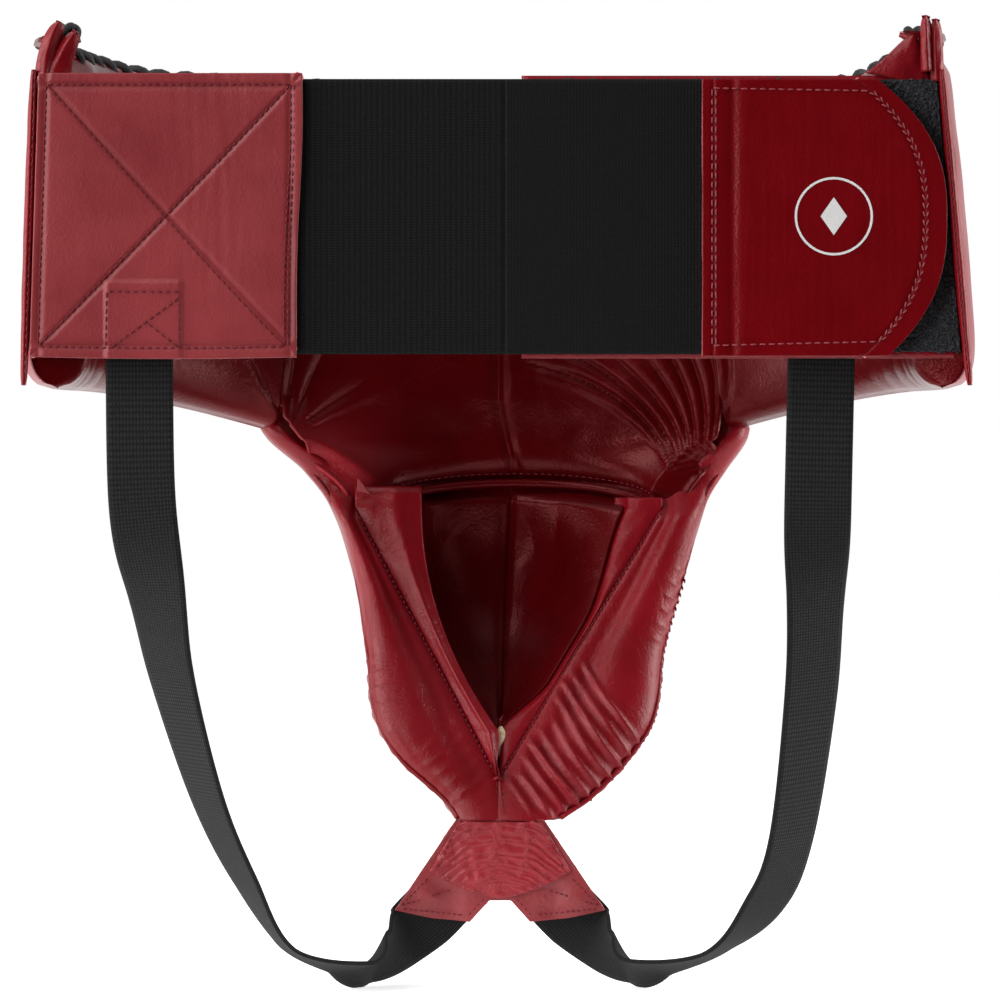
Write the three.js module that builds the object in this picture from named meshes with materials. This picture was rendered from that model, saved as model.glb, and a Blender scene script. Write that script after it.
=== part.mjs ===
// Groin protector: a padded leather body with a hard cup, closed behind the waist by a wide elastic band
// and a hook-and-loop flap, and held under the seat by two elastic straps on a leather tab.
// Millimetres. +X is the wearer's right, +Y the wearer's front, +Z up.
// The origin is the middle of the waist opening, at half the band's height.

import * as THREE from 'three';
import { mergeVertices } from 'three/addons/utils/BufferGeometryUtils.js';

// Driving dimensions
const bandHeight = 102; // wide elastic band
const bandTop = bandHeight / 2;
const bandBottom = -bandHeight / 2;
const leather = 2; // one leather layer with its turned edge
const wallThickness = 24; // padded wall, leather to leather
const air = 0.3; // gap between pieces that touch
const layerAir = 2.2; // gap between the padding and the leather round it

// Hip wall: an oval arc from one back corner round the belly to the other
const hipHalfWidth = 181;
const hipDepth = 150;
const hipMiddleY = -45;
const hipEndAngle = 103.5;
const seamAngle = 33.5; // seam between the front panels and the hip panels
const wallTop = 62;
const edgeTop = 58; // the top edge over the left half of the belly
const topDip = 3; // how much lower it runs to the right of that
const hipRise = { left: 3, right: 6 }; // how much it rises over each hip
const cornerRise = { left: 3.5, right: 5.5 }; // and once more at each back corner
const wingBottom = -63;
const leanLeft = 4; // how far each hip leans in at its top
const leanRight = 11;
const shoulder = 0.35; // extra lean above the band, for each millimetre of height
const wingDip = 14; // how much lower the wings are at their front seam

// Body below the waist: height, half width, middle x, rim y and front y
const bodyStations = [
  [-64, 99.9, 0, 80, 105],
  [-80, 96, 3, 75, 108],
  [-93, 84, 6, 69, 111],
  [-106, 75, 7, 62, 114],
  [-130, 67, 8, 57, 117],
  [-164, 59, 6, 47, 108],
  [-191, 55, 6, 34, 86],
  [-207, 45, 5.5, 27, 68],
  [-222, 29, 6, 20, 46],
  [-230, 20, 3, 15, 31],
];
const waistLine = bodyStations[0][0];
const bodyBottom = bodyStations[bodyStations.length - 1][0];
const bowlHeight = -130; // from here down the cross-section is a full bowl
const archMiddle = -97; // arch over the mouth of the well
const archEnds = -107;

// The mouth of the well on the back of the body: stitched V and opening, each from its top to its tip
const veeTop = { z: -109, left: -57.7, right: 63.6 };
const veeTip = { z: -214, x: -0.8 };
const mouthTop = { z: -106, left: -31, right: 56 };
const mouthTip = { z: -196, x: 0 };

// Back closure, from the outside in
const outerFace = -88;
const elasticThickness = 1.5;
const fixedEdge = -73; // where the elastic leaves the patch
const freeEdge = 76; // where it enters the flap
const patchEnd = -174.5; // at the bottom: it leans with the hip
const flapEnd = 166;
const flapRound = 62; // radius of the flap's rounded end, top and bottom
const loopStart = 8;
const loopEnd = 172; // at the bottom
const sewnDepth = 22; // elastic sewn inside the flap

// Straps and crotch tab
const strapWidth = 25;
const strapThickness = 1.6;
const tabTop = bodyBottom - 1.6;
const tabY = 12;
const leftStrapRoute = [
  [-134, -80, -42],
  [-133, -80, -105],
  [-128, -70, -142],
  [-123, -58, -173],
  [-110.5, -46, -218],
  [-97, -37, -249],
  [-81, -30, -275],
  [-57, -16, -284],
  [-44, 3, -279],
  [-36, 17, -270],
  [-27, 17.5, -257],
];
const leftStrapRoll = [0, 0, -32, -48, -60, -68, -80, -72, -50, -12, 0];
const rightStrapRoute = [
  [120, -73, -42],
  [118.5, -74, -105],
  [118, -68, -142],
  [116.5, -60, -180],
  [110, -46, -233],
  [100, -37, -259],
  [82, -30, -277],
  [57, -16, -284],
  [44, 3, -279],
  [36, 17, -270],
  [27, 17.5, -257],
];
const rightStrapRoll = [0, 0, 30, 38, 48, 54, 78, 70, 50, 12, 0];

// Colours and finishes
const finishes = {
  redLeather: { color: 0x8a0d17, roughness: 0.35, metalness: 0 },
  paleRedLeather: { color: 0xa53a44, roughness: 0.4, metalness: 0 },
  blackElastic: { color: 0x17171a, roughness: 0.9, metalness: 0 },
  blackCord: { color: 0x101012, roughness: 0.8, metalness: 0 },
  loopFabric: { color: 0x1c1c1e, roughness: 1, metalness: 0 },
  hookPad: { color: 0x141416, roughness: 0.8, metalness: 0 },
  foam: { color: 0xd8c6a0, roughness: 0.95, metalness: 0 },
  hardCup: { color: 0xd9d4c8, roughness: 0.5, metalness: 0 },
};
const materials = {};
for (const [name, look] of Object.entries(finishes)) {
  materials[name] = new THREE.MeshStandardMaterial(look);
}

const protector = new THREE.Group();

function addPiece(name, geometry, finish, parent = protector) {
  const piece = new THREE.Mesh(geometry, materials[finish]);
  piece.name = name;
  parent.add(piece);
  return piece;
}

const mix = THREE.MathUtils.lerp;

// Reads one column of the body stations at height z
function stationValue(z, column) {
  let row = 1;
  while (row < bodyStations.length - 1 && z < bodyStations[row][0]) row += 1;
  const above = bodyStations[row - 1];
  const below = bodyStations[row];
  const share = THREE.MathUtils.clamp((above[0] - z) / (above[0] - below[0]), 0, 1);
  return mix(above[column], below[column], share);
}

// How far a hip has leaned in at height z
function leanAt(direction, z) {
  const share = THREE.MathUtils.clamp((z - wingBottom) / (wallTop - wingBottom), 0, 1);
  const above = Math.max(z - bandTop - 4, 0);
  return share * (direction < 0 ? leanLeft : leanRight) + shoulder * above;
}

// A point of the hip wall: angle from the middle of the belly, depth into the wall, height
function hipPoint(angle, inset, z) {
  const turn = THREE.MathUtils.degToRad(angle);
  const x = (hipHalfWidth - inset - leanAt(angle, z)) * Math.sin(turn);
  const y = hipMiddleY + (hipDepth - inset) * Math.cos(turn);
  return new THREE.Vector3(x, y, z);
}

// A point of the front body: side -1 to 1 across it, depth into the wall, height
function bodyPoint(side, inset, z) {
  if (z >= waistLine) return hipPoint(side * seamAngle, inset, z);
  const sink = THREE.MathUtils.smoothstep(waistLine - z, 0, waistLine - bowlHeight);
  const spread = THREE.MathUtils.degToRad(mix(seamAngle, 90, sink));
  const seam = THREE.MathUtils.degToRad(seamAngle);
  const halfWidth = stationValue(z, 1) - inset * mix(Math.sin(seam), 1, sink);
  const rimY = stationValue(z, 3) - inset * mix(Math.cos(seam), 0, sink);
  const frontY = stationValue(z, 4) - inset;
  const rise = (Math.cos(side * spread) - Math.cos(spread)) / (1 - Math.cos(spread));
  const x = stationValue(z, 2) + (halfWidth * Math.sin(side * spread)) / Math.sin(spread);
  return new THREE.Vector3(x, mix(rimY, frontY, rise), z);
}

// A point anywhere on the wall, by its angle from the middle of the belly
function wallPoint(angle, inset, z) {
  if (Math.abs(angle) <= seamAngle) return bodyPoint(angle / seamAngle, inset, z);
  return hipPoint(angle, inset, z);
}

// Height of the top edge, by the angle from the middle of the belly
function topAt(angle) {
  const away = Math.abs(angle);
  const word = angle < 0 ? 'left' : 'right';
  const dip = topDip * THREE.MathUtils.smoothstep(angle, -30, 20);
  const hip = hipRise[word] * THREE.MathUtils.smoothstep(away, 54, 80);
  const corner = cornerRise[word] * THREE.MathUtils.smoothstep(away, 85, 98);
  return edgeTop - dip + hip + corner;
}

function wingBottomAt(angle) {
  const share = THREE.MathUtils.clamp(1 - (Math.abs(angle) - seamAngle) / 40, 0, 1);
  return wingBottom - wingDip * share * share;
}

function archAt(side) {
  return mix(archMiddle, archEnds, side * side);
}

// Keeps one closed body with its faces outward
function closeBody(geometry) {
  geometry.deleteAttribute('normal');
  geometry.deleteAttribute('uv');
  const body = mergeVertices(geometry);
  const corner = [new THREE.Vector3(), new THREE.Vector3(), new THREE.Vector3()];
  let volume = 0;
  for (let i = 0; i < body.index.count; i += 3) {
    corner.forEach((c, k) => c.fromBufferAttribute(body.attributes.position, body.index.getX(i + k)));
    volume += corner[0].dot(corner[1].cross(corner[2]));
  }
  if (volume < 0) body.setIndex(Array.from(body.index.array).reverse());
  return body;
}

// A closed slab bent into place: across, thick and down each run from 0 to 1
function curvedSlab(acrossSteps, downSteps, place) {
  const slab = new THREE.BoxGeometry(1, 1, 1, acrossSteps, 1, downSteps);
  const spots = slab.attributes.position;
  const spot = new THREE.Vector3();
  for (let i = 0; i < spots.count; i += 1) {
    spot.fromBufferAttribute(spots, i);
    const placed = place(spot.x + 0.5, spot.y + 0.5, 0.5 - spot.z);
    spots.setXYZ(i, placed.x, placed.y, placed.z);
  }
  return closeBody(slab);
}

// A flat plate standing across the back: its shape is drawn in x and z
function addPlate(name, shape, nearY, thickness, finish, parent = protector) {
  const sheet = new THREE.ExtrudeGeometry(shape, { depth: thickness, bevelEnabled: false, curveSegments: 8 });
  const plate = addPiece(name, closeBody(sheet), finish, parent);
  plate.rotation.x = Math.PI / 2;
  plate.position.y = nearY + thickness;
  return plate;
}

function rectangle(left, right, bottom, top) {
  const shape = new THREE.Shape();
  shape.moveTo(left, bottom);
  shape.lineTo(right, bottom);
  shape.lineTo(right, top);
  shape.lineTo(left, top);
  shape.closePath();
  return shape;
}

// Leather of the hip wings, outside and inside
function addHipLeather(name, direction, outside) {
  const inset = outside ? 0 : wallThickness - leather;
  const geometry = curvedSlab(12, 8, (across, thick, down) => {
    const angle = mix(seamAngle + 0.3, hipEndAngle, across);
    const z = mix(topAt(direction * angle), wingBottomAt(angle), down);
    return hipPoint(direction * angle, inset + thick * leather, z);
  });
  addPiece(name, geometry, 'redLeather');
}

// Padding of one wing and half of the belly
function addWaistFoam(name, direction) {
  const near = leather + layerAir;
  const far = wallThickness - leather - layerAir;
  const geometry = curvedSlab(20, 11, (across, thick, down) => {
    const angle = mix(0.2, hipEndAngle - 1, across);
    const inArch = angle < seamAngle - 7;
    const bottom = (inArch ? archAt(angle / seamAngle) : wingBottomAt(angle)) + 9;
    const spare = 6 + 16 * THREE.MathUtils.smoothstep(angle, 78, 92); // the corners are left unstuffed
    const z = mix(topAt(direction * angle) - spare, bottom, down);
    return wallPoint(direction * angle, mix(near, far, thick), z);
  });
  addPiece(name, geometry, 'foam');
}

// A layer of the front body, from one height to another
function addBodyLayer(name, sideFrom, sideTo, insetFrom, thickness, upperAt, lowerAt, steps, finish) {
  const geometry = curvedSlab(steps[0], steps[1], (across, thick, down) => {
    const side = mix(sideFrom, sideTo, across);
    return bodyPoint(side, insetFrom + thick * thickness, mix(upperAt(side), lowerAt(side), down));
  });
  addPiece(name, geometry, finish);
}

function addLeatherBody() {
  for (const [word, direction] of [['left', -1], ['right', 1]]) {
    addHipLeather(`hip_panel_${word}`, direction, true);
    addHipLeather(`hip_lining_${word}`, direction, false);
    addWaistFoam(`waist_foam_${word}`, direction);
    const nearMiddle = direction * 0.004;
    const nearSeam = direction * 0.997;
    const lining = wallThickness - leather;
    const topLine = (side) => topAt(side * seamAngle);
    const half = [nearMiddle, nearSeam];
    addBodyLayer(`front_panel_${word}`, ...half, 0, leather, topLine, () => bodyBottom, [6, 18], 'redLeather');
    addBodyLayer(`front_lining_${word}`, ...half, lining, leather, topLine, archAt, [6, 8], 'redLeather');
  }
}

// Hard cup between two layers of padding, and the leather of the well
function addCup() {
  const at = (z) => () => z;
  addBodyLayer('cup_foam', -0.98, 0.98, leather + layerAir, 8, at(archEnds - 2), at(-226), [14, 8], 'foam');
  addBodyLayer('cup_shell', -0.98, 0.98, 13.4, 2.7, at(archEnds - 4), at(-212), [14, 8], 'hardCup');
  addBodyLayer('cup_liner_foam', -0.98, 0.98, 17, 4, at(archEnds - 3), at(-211), [14, 8], 'foam');
  addBodyLayer('well_lining_left', -0.99, -0.006, 22, leather, at(archEnds - 2), at(-213), [7, 8], 'redLeather');
  addBodyLayer('well_lining_right', 0.006, 0.99, 22, leather, at(archEnds - 2), at(-213), [7, 8], 'redLeather');
}

// The back face of the wall's edges at height z, where rolls and strips lie
function rimFace(z) {
  return bodyPoint(1, wallThickness, z).y - 2 * air;
}

function lineAt(z, from, fromX, to) {
  return mix(fromX, to.x, THREE.MathUtils.clamp((from.z - z) / (from.z - to.z), 0, 1));
}

// Padded roll between the stitched V and the outline of the body
function addLegRoll(word, direction) {
  const geometry = curvedSlab(12, 5, (along, thick, across) => {
    const z = mix(veeTop.z, bodyBottom + 1, along);
    const vee = lineAt(z, veeTop, veeTop[word], veeTip) + direction * 2 * air;
    const edge = bodyPoint(direction, 0, z).x;
    const bulge = 2 + 7 * Math.sin(Math.PI * across);
    return new THREE.Vector3(mix(vee, edge, across), rimFace(z) - thick * bulge, z);
  });
  addPiece(`leg_roll_${word}`, geometry, 'redLeather');
}

// Leather strip between the stitched V and the mouth of the well
function addRimStrip(word, direction) {
  const geometry = curvedSlab(10, 1, (along, thick, across) => {
    const z = mix(veeTop.z, mouthTip.z, along);
    const vee = lineAt(z, veeTop, veeTop[word], veeTip) - direction * 2 * air;
    const hollow = Math.sin((Math.PI * (mouthTop.z - z)) / (mouthTop.z - mouthTip.z));
    const reach = word === 'left' ? 11 : -4;
    const mouth = lineAt(z, mouthTop, mouthTop[word], mouthTip) + direction - reach * Math.max(hollow, 0);
    return new THREE.Vector3(mix(vee, mouth, across), rimFace(z) - thick * 3, z);
  });
  addPiece(`rim_strip_${word}`, geometry, 'redLeather');
}

function tubeAlong(points, radius, sides, steps) {
  const section = new THREE.Shape();
  for (let i = 0; i < sides; i += 1) {
    const turn = (2 * Math.PI * i) / sides;
    section[i ? 'lineTo' : 'moveTo'](radius * Math.cos(turn), radius * Math.sin(turn));
  }
  section.closePath();
  const route = new THREE.CatmullRomCurve3(points);
  return closeBody(new THREE.ExtrudeGeometry(section, { steps, extrudePath: route, bevelEnabled: false }));
}

// Sewn roll over the mouth of the well
function addArchPiping() {
  const radius = 1.8;
  const points = [];
  for (let side = -0.9; side <= 0.91; side += 0.15) {
    points.push(bodyPoint(side, wallThickness + radius + 1, archAt(side) + 1));
  }
  addPiece('arch_piping', tubeAlong(points, radius, 8, 16), 'redLeather');
}

// Cord whipped over the top edge, its knot and its end loop
function addTopLace() {
  const radius = 1.6;
  const points = [];
  for (let angle = -98; angle <= 98; angle += 7) {
    points.push(hipPoint(angle, 6, topAt(angle) + radius + 2 * air));
  }
  addPiece('top_lace', tubeAlong(points, radius, 8, 56), 'blackCord');
  const knotRadius = 4.2;
  const knotLift = { left: 4.8, right: 1.5 };
  for (const [word, direction] of [['left', -1], ['right', 1]]) {
    const knot = addPiece(`lace_knot_${word}`, closeBody(new THREE.SphereGeometry(knotRadius, 10, 8)), 'blackCord');
    const angle = direction * 100.5;
    knot.position.copy(hipPoint(angle, 8, topAt(angle) + knotLift[word]));
  }
}

// A plate's outline between two sides that lean in like the hips
function leaningShape(left, right, bottom, top) {
  const shape = new THREE.Shape();
  shape.moveTo(left(bottom), bottom);
  shape.lineTo(right(bottom), bottom);
  shape.lineTo(right(top), top);
  shape.lineTo(left(top), top);
  shape.closePath();
  return shape;
}

// Folded leather down the back corner of each wing, and the peak above it
function addCorner(word, direction) {
  const end = hipPoint(direction * hipEndAngle, 0, 0);
  const reach = word === 'left' ? -patchEnd : loopEnd;
  const inner = (z) => direction * (reach + 2 * air - leanAt(direction, z));
  const outer = (z) => inner(z) + direction * 3.4;
  const sides = word === 'left' ? [outer, inner] : [inner, outer];
  const strip = leaningShape(...sides, wingBottom, bandTop + 2);
  addPlate(`edge_binding_${word}`, strip, outerFace + 1, end.y - 1.5 - outerFace - 1, 'redLeather');
  const corner = inner(bandTop + 4) - direction * 2 * air;
  const tip = corner - direction * (word === 'left' ? 9 : 3);
  const peak = new THREE.Shape();
  peak.moveTo(corner, bandTop + 4);
  peak.lineTo(corner - direction * 19, bandTop + 4);
  peak.lineTo(corner - direction * 17, wallTop + 1);
  peak.lineTo(tip, wallTop + 11);
  peak.lineTo(corner - direction * 1, wallTop - 4);
  peak.closePath();
  addPlate(`corner_tab_${word}`, peak, outerFace + 4, 2.5, 'redLeather');
}

// Leather patch over the fixed end of the band
function addPatch() {
  const right = () => fixedEdge - air;
  const patch = leaningShape((z) => patchEnd + leanAt(-1, z), right, bandBottom - 1, bandTop + 2);
  const elasticFace = outerFace + leather + air;
  addPlate('belt_patch', patch, outerFace, leather, 'paleRedLeather');
  const sewnEnd = rectangle(patchEnd + 10, fixedEdge - air, bandBottom, bandTop);
  addPlate('elastic_fixed_end', sewnEnd, elasticFace, elasticThickness, 'blackElastic');
  const backing = elasticFace + elasticThickness + air;
  addPlate('belt_patch_backing', patch, backing, leather, 'redLeather');
}

function addWaistElastic() {
  const belt = rectangle(fixedEdge, freeEdge, bandBottom, bandTop);
  addPlate('waist_elastic', belt, outerFace + leather + air, elasticThickness, 'blackElastic');
}

// Outline of the flap and of the hook pad behind it, with a rounded free end
function flapOutline(left, right, bottom, top, radius) {
  const shape = new THREE.Shape();
  const middle = (top + bottom) / 2;
  shape.moveTo(left, bottom);
  shape.lineTo(right - 0.45 * radius, bottom);
  shape.quadraticCurveTo(right, bottom + 0.3 * radius, right, middle);
  shape.quadraticCurveTo(right, top - 0.3 * radius, right - 0.45 * radius, top);
  shape.lineTo(left, top);
  shape.closePath();
  return shape;
}

function addFlap() {
  const left = freeEdge + air;
  const elasticFace = outerFace + leather + air;
  const cover = flapOutline(left, flapEnd, bandBottom, bandTop, flapRound);
  addPlate('flap_cover', cover, outerFace, leather, 'redLeather');
  const sewnEnd = rectangle(left, left + sewnDepth, bandBottom + 2, bandTop - 2);
  addPlate('elastic_flap_end', sewnEnd, elasticFace, elasticThickness, 'blackElastic');
  const pad = flapOutline(left + sewnDepth + 1, flapEnd - 3, bandBottom + 3, bandTop - 3, flapRound);
  addPlate('hook_pad', pad, elasticFace, elasticThickness, 'hookPad');
  const backing = flapOutline(left, left + sewnDepth, bandBottom + 1, bandTop - 1, 0);
  addPlate('flap_backing', backing, elasticFace + elasticThickness + air, 1.2, 'redLeather');
}

// Loop panel on the right wing, which the flap closes on
function addLoopPanel() {
  const face = outerFace + leather + elasticThickness + 1.2 + 3 * air;
  const left = () => loopStart;
  const right = (z) => loopEnd - leanAt(1, z);
  const panel = leaningShape(left, right, bandBottom, bandTop);
  const backing = leaningShape(left, right, bandBottom - 1, bandTop + 1);
  addPlate('loop_panel', panel, face, 1.6, 'loopFabric');
  addPlate('loop_backing', backing, face + 1.6 + air, leather, 'redLeather');
}

// Flat elastic strap: its face turns about its own length by the roll angles
function strapGeometry(route, rolls, startAt, endAt, steps) {
  const path = new THREE.CatmullRomCurve3(route.map((p) => new THREE.Vector3(...p)));
  const rollPath = new THREE.CatmullRomCurve3(rolls.map((roll, i) => new THREE.Vector3(i, roll, 0)));
  const forward = new THREE.Vector3(0, 1, 0);
  return curvedSlab(steps, 1, (along, thick, across) => {
    const share = mix(startAt, endAt, along);
    const tangent = path.getTangent(share);
    const roll = THREE.MathUtils.degToRad(rollPath.getPoint(share).y);
    const widthway = new THREE.Vector3().crossVectors(tangent, forward).normalize();
    const faceway = new THREE.Vector3().crossVectors(widthway, tangent).normalize();
    widthway.applyAxisAngle(tangent, -roll);
    faceway.applyAxisAngle(tangent, -roll);
    const spot = path.getPoint(share);
    spot.addScaledVector(widthway, (across - 0.5) * strapWidth);
    return spot.addScaledVector(faceway, (thick - 0.5) * strapThickness);
  });
}

function addStraps() {
  addPiece('leg_strap_left', strapGeometry(leftStrapRoute, leftStrapRoll, 0, 1, 36), 'blackElastic');
  addPiece('leg_strap_right', strapGeometry(rightStrapRoute, rightStrapRoll, 0, 1, 36), 'blackElastic');
}

// Leather tab under the body, with a notch between its two legs, and the overlay stitched on it
function addCrotchTab() {
  const tab = new THREE.Shape();
  const overlay = new THREE.Shape();
  const outline = [
    [-17.5, tabTop], [18.5, tabTop], [41, tabTop - 33], [13, tabTop - 36], [6, tabTop - 29],
    [-6, tabTop - 29], [-13, tabTop - 36], [-41, tabTop - 33],
  ];
  outline.forEach(([x, z], i) => tab[i ? 'lineTo' : 'moveTo'](x, z));
  tab.closePath();
  overlay.moveTo(-15.5, tabTop - 3);
  overlay.lineTo(16.5, tabTop - 3);
  overlay.lineTo(28, tabTop - 19);
  overlay.quadraticCurveTo(18, tabTop - 23, 6, tabTop - 28);
  overlay.lineTo(-6, tabTop - 28);
  overlay.quadraticCurveTo(-18, tabTop - 23, -28, tabTop - 19);
  overlay.closePath();
  addPlate('crotch_tab', tab, tabY, leather, 'redLeather');
  addPlate('crotch_tab_overlay', overlay, tabY - air - 1.2, 1.2, 'redLeather');
}

addLeatherBody();
addCup();
addLegRoll('left', -1);
addLegRoll('right', 1);
addRimStrip('left', -1);
addRimStrip('right', 1);
addArchPiping();
addTopLace();
addCorner('left', -1);
addCorner('right', 1);
addPatch();
addWaistElastic();
addFlap();
addLoopPanel();
addStraps();
addCrotchTab();

export default protector;
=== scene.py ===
import math

import bmesh
import bpy
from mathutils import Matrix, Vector, noise


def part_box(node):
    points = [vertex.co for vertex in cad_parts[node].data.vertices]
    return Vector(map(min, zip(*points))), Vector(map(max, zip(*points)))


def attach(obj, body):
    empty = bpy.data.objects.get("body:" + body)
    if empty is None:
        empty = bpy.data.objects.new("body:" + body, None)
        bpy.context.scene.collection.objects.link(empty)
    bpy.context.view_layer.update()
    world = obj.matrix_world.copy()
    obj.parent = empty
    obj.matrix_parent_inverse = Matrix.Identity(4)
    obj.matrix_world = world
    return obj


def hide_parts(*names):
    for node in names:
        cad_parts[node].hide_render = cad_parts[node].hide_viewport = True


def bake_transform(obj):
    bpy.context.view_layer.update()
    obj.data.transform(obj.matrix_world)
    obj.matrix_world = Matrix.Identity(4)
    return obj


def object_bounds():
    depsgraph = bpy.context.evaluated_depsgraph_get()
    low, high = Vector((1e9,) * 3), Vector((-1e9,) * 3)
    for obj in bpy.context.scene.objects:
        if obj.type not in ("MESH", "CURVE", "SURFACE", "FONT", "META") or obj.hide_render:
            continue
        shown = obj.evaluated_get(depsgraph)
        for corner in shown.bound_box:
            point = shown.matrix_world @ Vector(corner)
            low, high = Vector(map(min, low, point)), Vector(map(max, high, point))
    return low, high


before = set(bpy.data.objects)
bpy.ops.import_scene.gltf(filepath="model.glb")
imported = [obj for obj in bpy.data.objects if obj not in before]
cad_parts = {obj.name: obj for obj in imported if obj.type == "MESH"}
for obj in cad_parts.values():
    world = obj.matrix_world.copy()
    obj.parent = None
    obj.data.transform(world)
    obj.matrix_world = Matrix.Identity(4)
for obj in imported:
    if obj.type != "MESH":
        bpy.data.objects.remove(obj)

cadBounds = [list(corner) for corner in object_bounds()]
mm = 0.001


def low(node):
    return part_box(node)[0] / mm


def high(node):
    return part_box(node)[1] / mm


def mix(a, b, share):
    return a + (b - a) * share


def clamp(value, least=0.0, most=1.0):
    return max(least, min(most, value))


def smooth(value):
    value = clamp(value)
    return value * value * (3 - 2 * value)


def bump(value, middle, width):
    return math.exp(-((value - middle) / width) ** 2)


def seamNoise(x, y, z, seed=0.0):
    return noise.noise(Vector((x + seed * 17.3, y - seed * 9.1, z + seed * 5.7)))


# the padded wall, in millimetres: an oval round the hips, a bowl below it; -1 is the left side, 1 the right
wall = {
    "halfWidth": 181,
    "depth": 150,
    "middleY": -45,
    "endAngle": 103.5,
    "seamAngle": 33.5,
    "thick": 24,
    "top": 62,
    "edgeTop": 58,
    "dip": 3,
    "hipRise": {-1: 3, 1: 6},
    "cornerRise": {-1: 3.5, 1: 5.5},
    "lean": {-1: 4, 1: 11},
    "shoulder": 0.35,
    "shoulderFrom": 55,
    "wingBottom": -63,
    "wingDip": 14,
    "bottom": low("front_panel_left").z,
    "bowl": -130,
}
# height, half width, middle x, rim y, front y of the body below the waist
bodyStations = [
    (-48, 99.9, 0, 80, 105),
    (-64, 99.9, 0, 80, 105),
    (-80, 96, 3, 75, 108),
    (-93, 84, 6, 69, 111),
    (-106, 75, 7, 62, 114),
    (-130, 67, 8, 57, 117),
    (-164, 59, 6, 47, 108),
    (-191, 55, 6, 34, 86),
    (-207, 45, 5.5, 27, 68),
    (-222, 29, 6, 20, 46),
    (-230, 20, 3, 15, 31),
    (-238, 14, 2, 12, 22),
]
waistLine = bodyStations[1][0]


def stationValue(z, column):
    row = 1
    while row < len(bodyStations) - 3 and z < bodyStations[row + 1][0]:
        row += 1
    a, b, c, d = (bodyStations[row + k] for k in (-1, 0, 1, 2))
    t = clamp((b[0] - z) / (b[0] - c[0]))
    slopeB = (c[column] - a[column]) / (c[0] - a[0]) * (c[0] - b[0])
    slopeC = (d[column] - b[column]) / (d[0] - b[0]) * (c[0] - b[0])
    return ((2 * t**3 - 3 * t**2 + 1) * b[column] + (t**3 - 2 * t**2 + t) * slopeB
            + (3 * t**2 - 2 * t**3) * c[column] + (t**3 - t**2) * slopeC)


def leanAt(direction, z):
    share = clamp((z - wall["wingBottom"]) / (wall["top"] - wall["wingBottom"]))
    shoulder = wall["shoulder"] * max(z - wall["shoulderFrom"], 0)
    return share * wall["lean"][-1 if direction < 0 else 1] + shoulder


def topAt(angle):
    side = -1 if angle < 0 else 1
    hip = wall["hipRise"][side] * smooth((abs(angle) - 54) / 26)
    corner = wall["cornerRise"][side] * smooth((abs(angle) - 85) / 13)
    return wall["edgeTop"] - wall["dip"] * smooth((angle + 30) / 50) + hip + corner


def pinchAt(angle, z):
    # the stuffing thins out towards the top back corners
    return 0.62 * smooth((abs(angle) - 84) / 14) * smooth((z - 44) / 14)


def hipPoint(angle, inset, z):
    turn = math.radians(angle)
    x = (wall["halfWidth"] - inset - leanAt(angle, z)) * math.sin(turn)
    y = wall["middleY"] + (wall["depth"] - inset) * math.cos(turn)
    return Vector((x, y, z))


def bodyPoint(side, inset, z):
    if z >= waistLine:
        return hipPoint(side * wall["seamAngle"], inset, z)
    sink = smooth((waistLine - z) / (waistLine - wall["bowl"]))
    seam = math.radians(wall["seamAngle"])
    spread = mix(seam, math.pi / 2, sink)
    halfWidth = stationValue(z, 1) - inset * mix(math.sin(seam), 1, sink)
    rimY = stationValue(z, 3) - inset * mix(math.cos(seam), 0, sink)
    frontY = stationValue(z, 4) - inset
    rise = (math.cos(side * spread) - math.cos(spread)) / (1 - math.cos(spread))
    x = stationValue(z, 2) + halfWidth * math.sin(side * spread) / math.sin(spread)
    return Vector((x, mix(rimY, frontY, rise), z))


def wallPoint(angle, inset, z):
    if abs(angle) <= wall["seamAngle"]:
        return bodyPoint(angle / wall["seamAngle"], inset, z)
    return hipPoint(angle, inset, z)


def wingBottomAt(angle):
    share = clamp(1 - (abs(angle) - wall["seamAngle"]) / 40)
    return wall["wingBottom"] - wall["wingDip"] * share * share


def archAt(side):
    return mix(-97, -107, side * side)


def finishObject(name, bm, material, body, replaced=(), rough=False):
    mesh = bpy.data.meshes.new(name)
    bm.to_mesh(mesh)
    bm.free()
    if not rough:
        mesh.polygons.foreach_set("use_smooth", [True] * len(mesh.polygons))
    piece = bpy.data.objects.new(name, mesh)
    bpy.context.scene.collection.objects.link(piece)
    mesh.materials.append(material)
    if replaced:
        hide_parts(*replaced)
    if body:
        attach(piece, body)
    return piece


def paddedPiece(name, bm, material, nodes, thick):
    # leather with stuffing or lining behind it, sewn to the body
    piece = finishObject(name, bm, material, "root", nodes)
    thicken(piece, thick)


def gridSheet(cols, rows, place, uvScale=(1, 1), facing=None):
    # a grid bent into place; the first numbers run across, the second down
    bm = bmesh.new()
    uvLayer = bm.loops.layers.uv.new("UVMap")
    bmesh.ops.create_grid(bm, x_segments=cols, y_segments=rows, size=0.5)
    spots = {v: (v.co.x + 0.5, 0.5 - v.co.y) for v in bm.verts}
    for face in bm.faces:
        for loop in face.loops:
            u, w = spots[loop.vert]
            loop[uvLayer].uv = (u * uvScale[0], (1 - w) * uvScale[1])
    for v, (u, w) in spots.items():
        v.co = place(u, w) * mm
    bm.normal_update()
    if facing is not None:
        total = sum((f.normal.dot(facing(f.calc_center_median() / mm)) * f.calc_area() for f in bm.faces))
        if total < 0:
            bmesh.ops.reverse_faces(bm, faces=bm.faces)
    return bm


def thicken(piece, thick, outward=-1.0):
    leather = piece.modifiers.new("thickness", "SOLIDIFY")
    leather.thickness = thick * mm
    leather.offset = outward
    leather.use_even_offset = False


def showEdge(piece, material):
    # another material on the cut edge all round
    piece.data.materials.append(material)
    piece.modifiers["thickness"].material_offset_rim = 1


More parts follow.
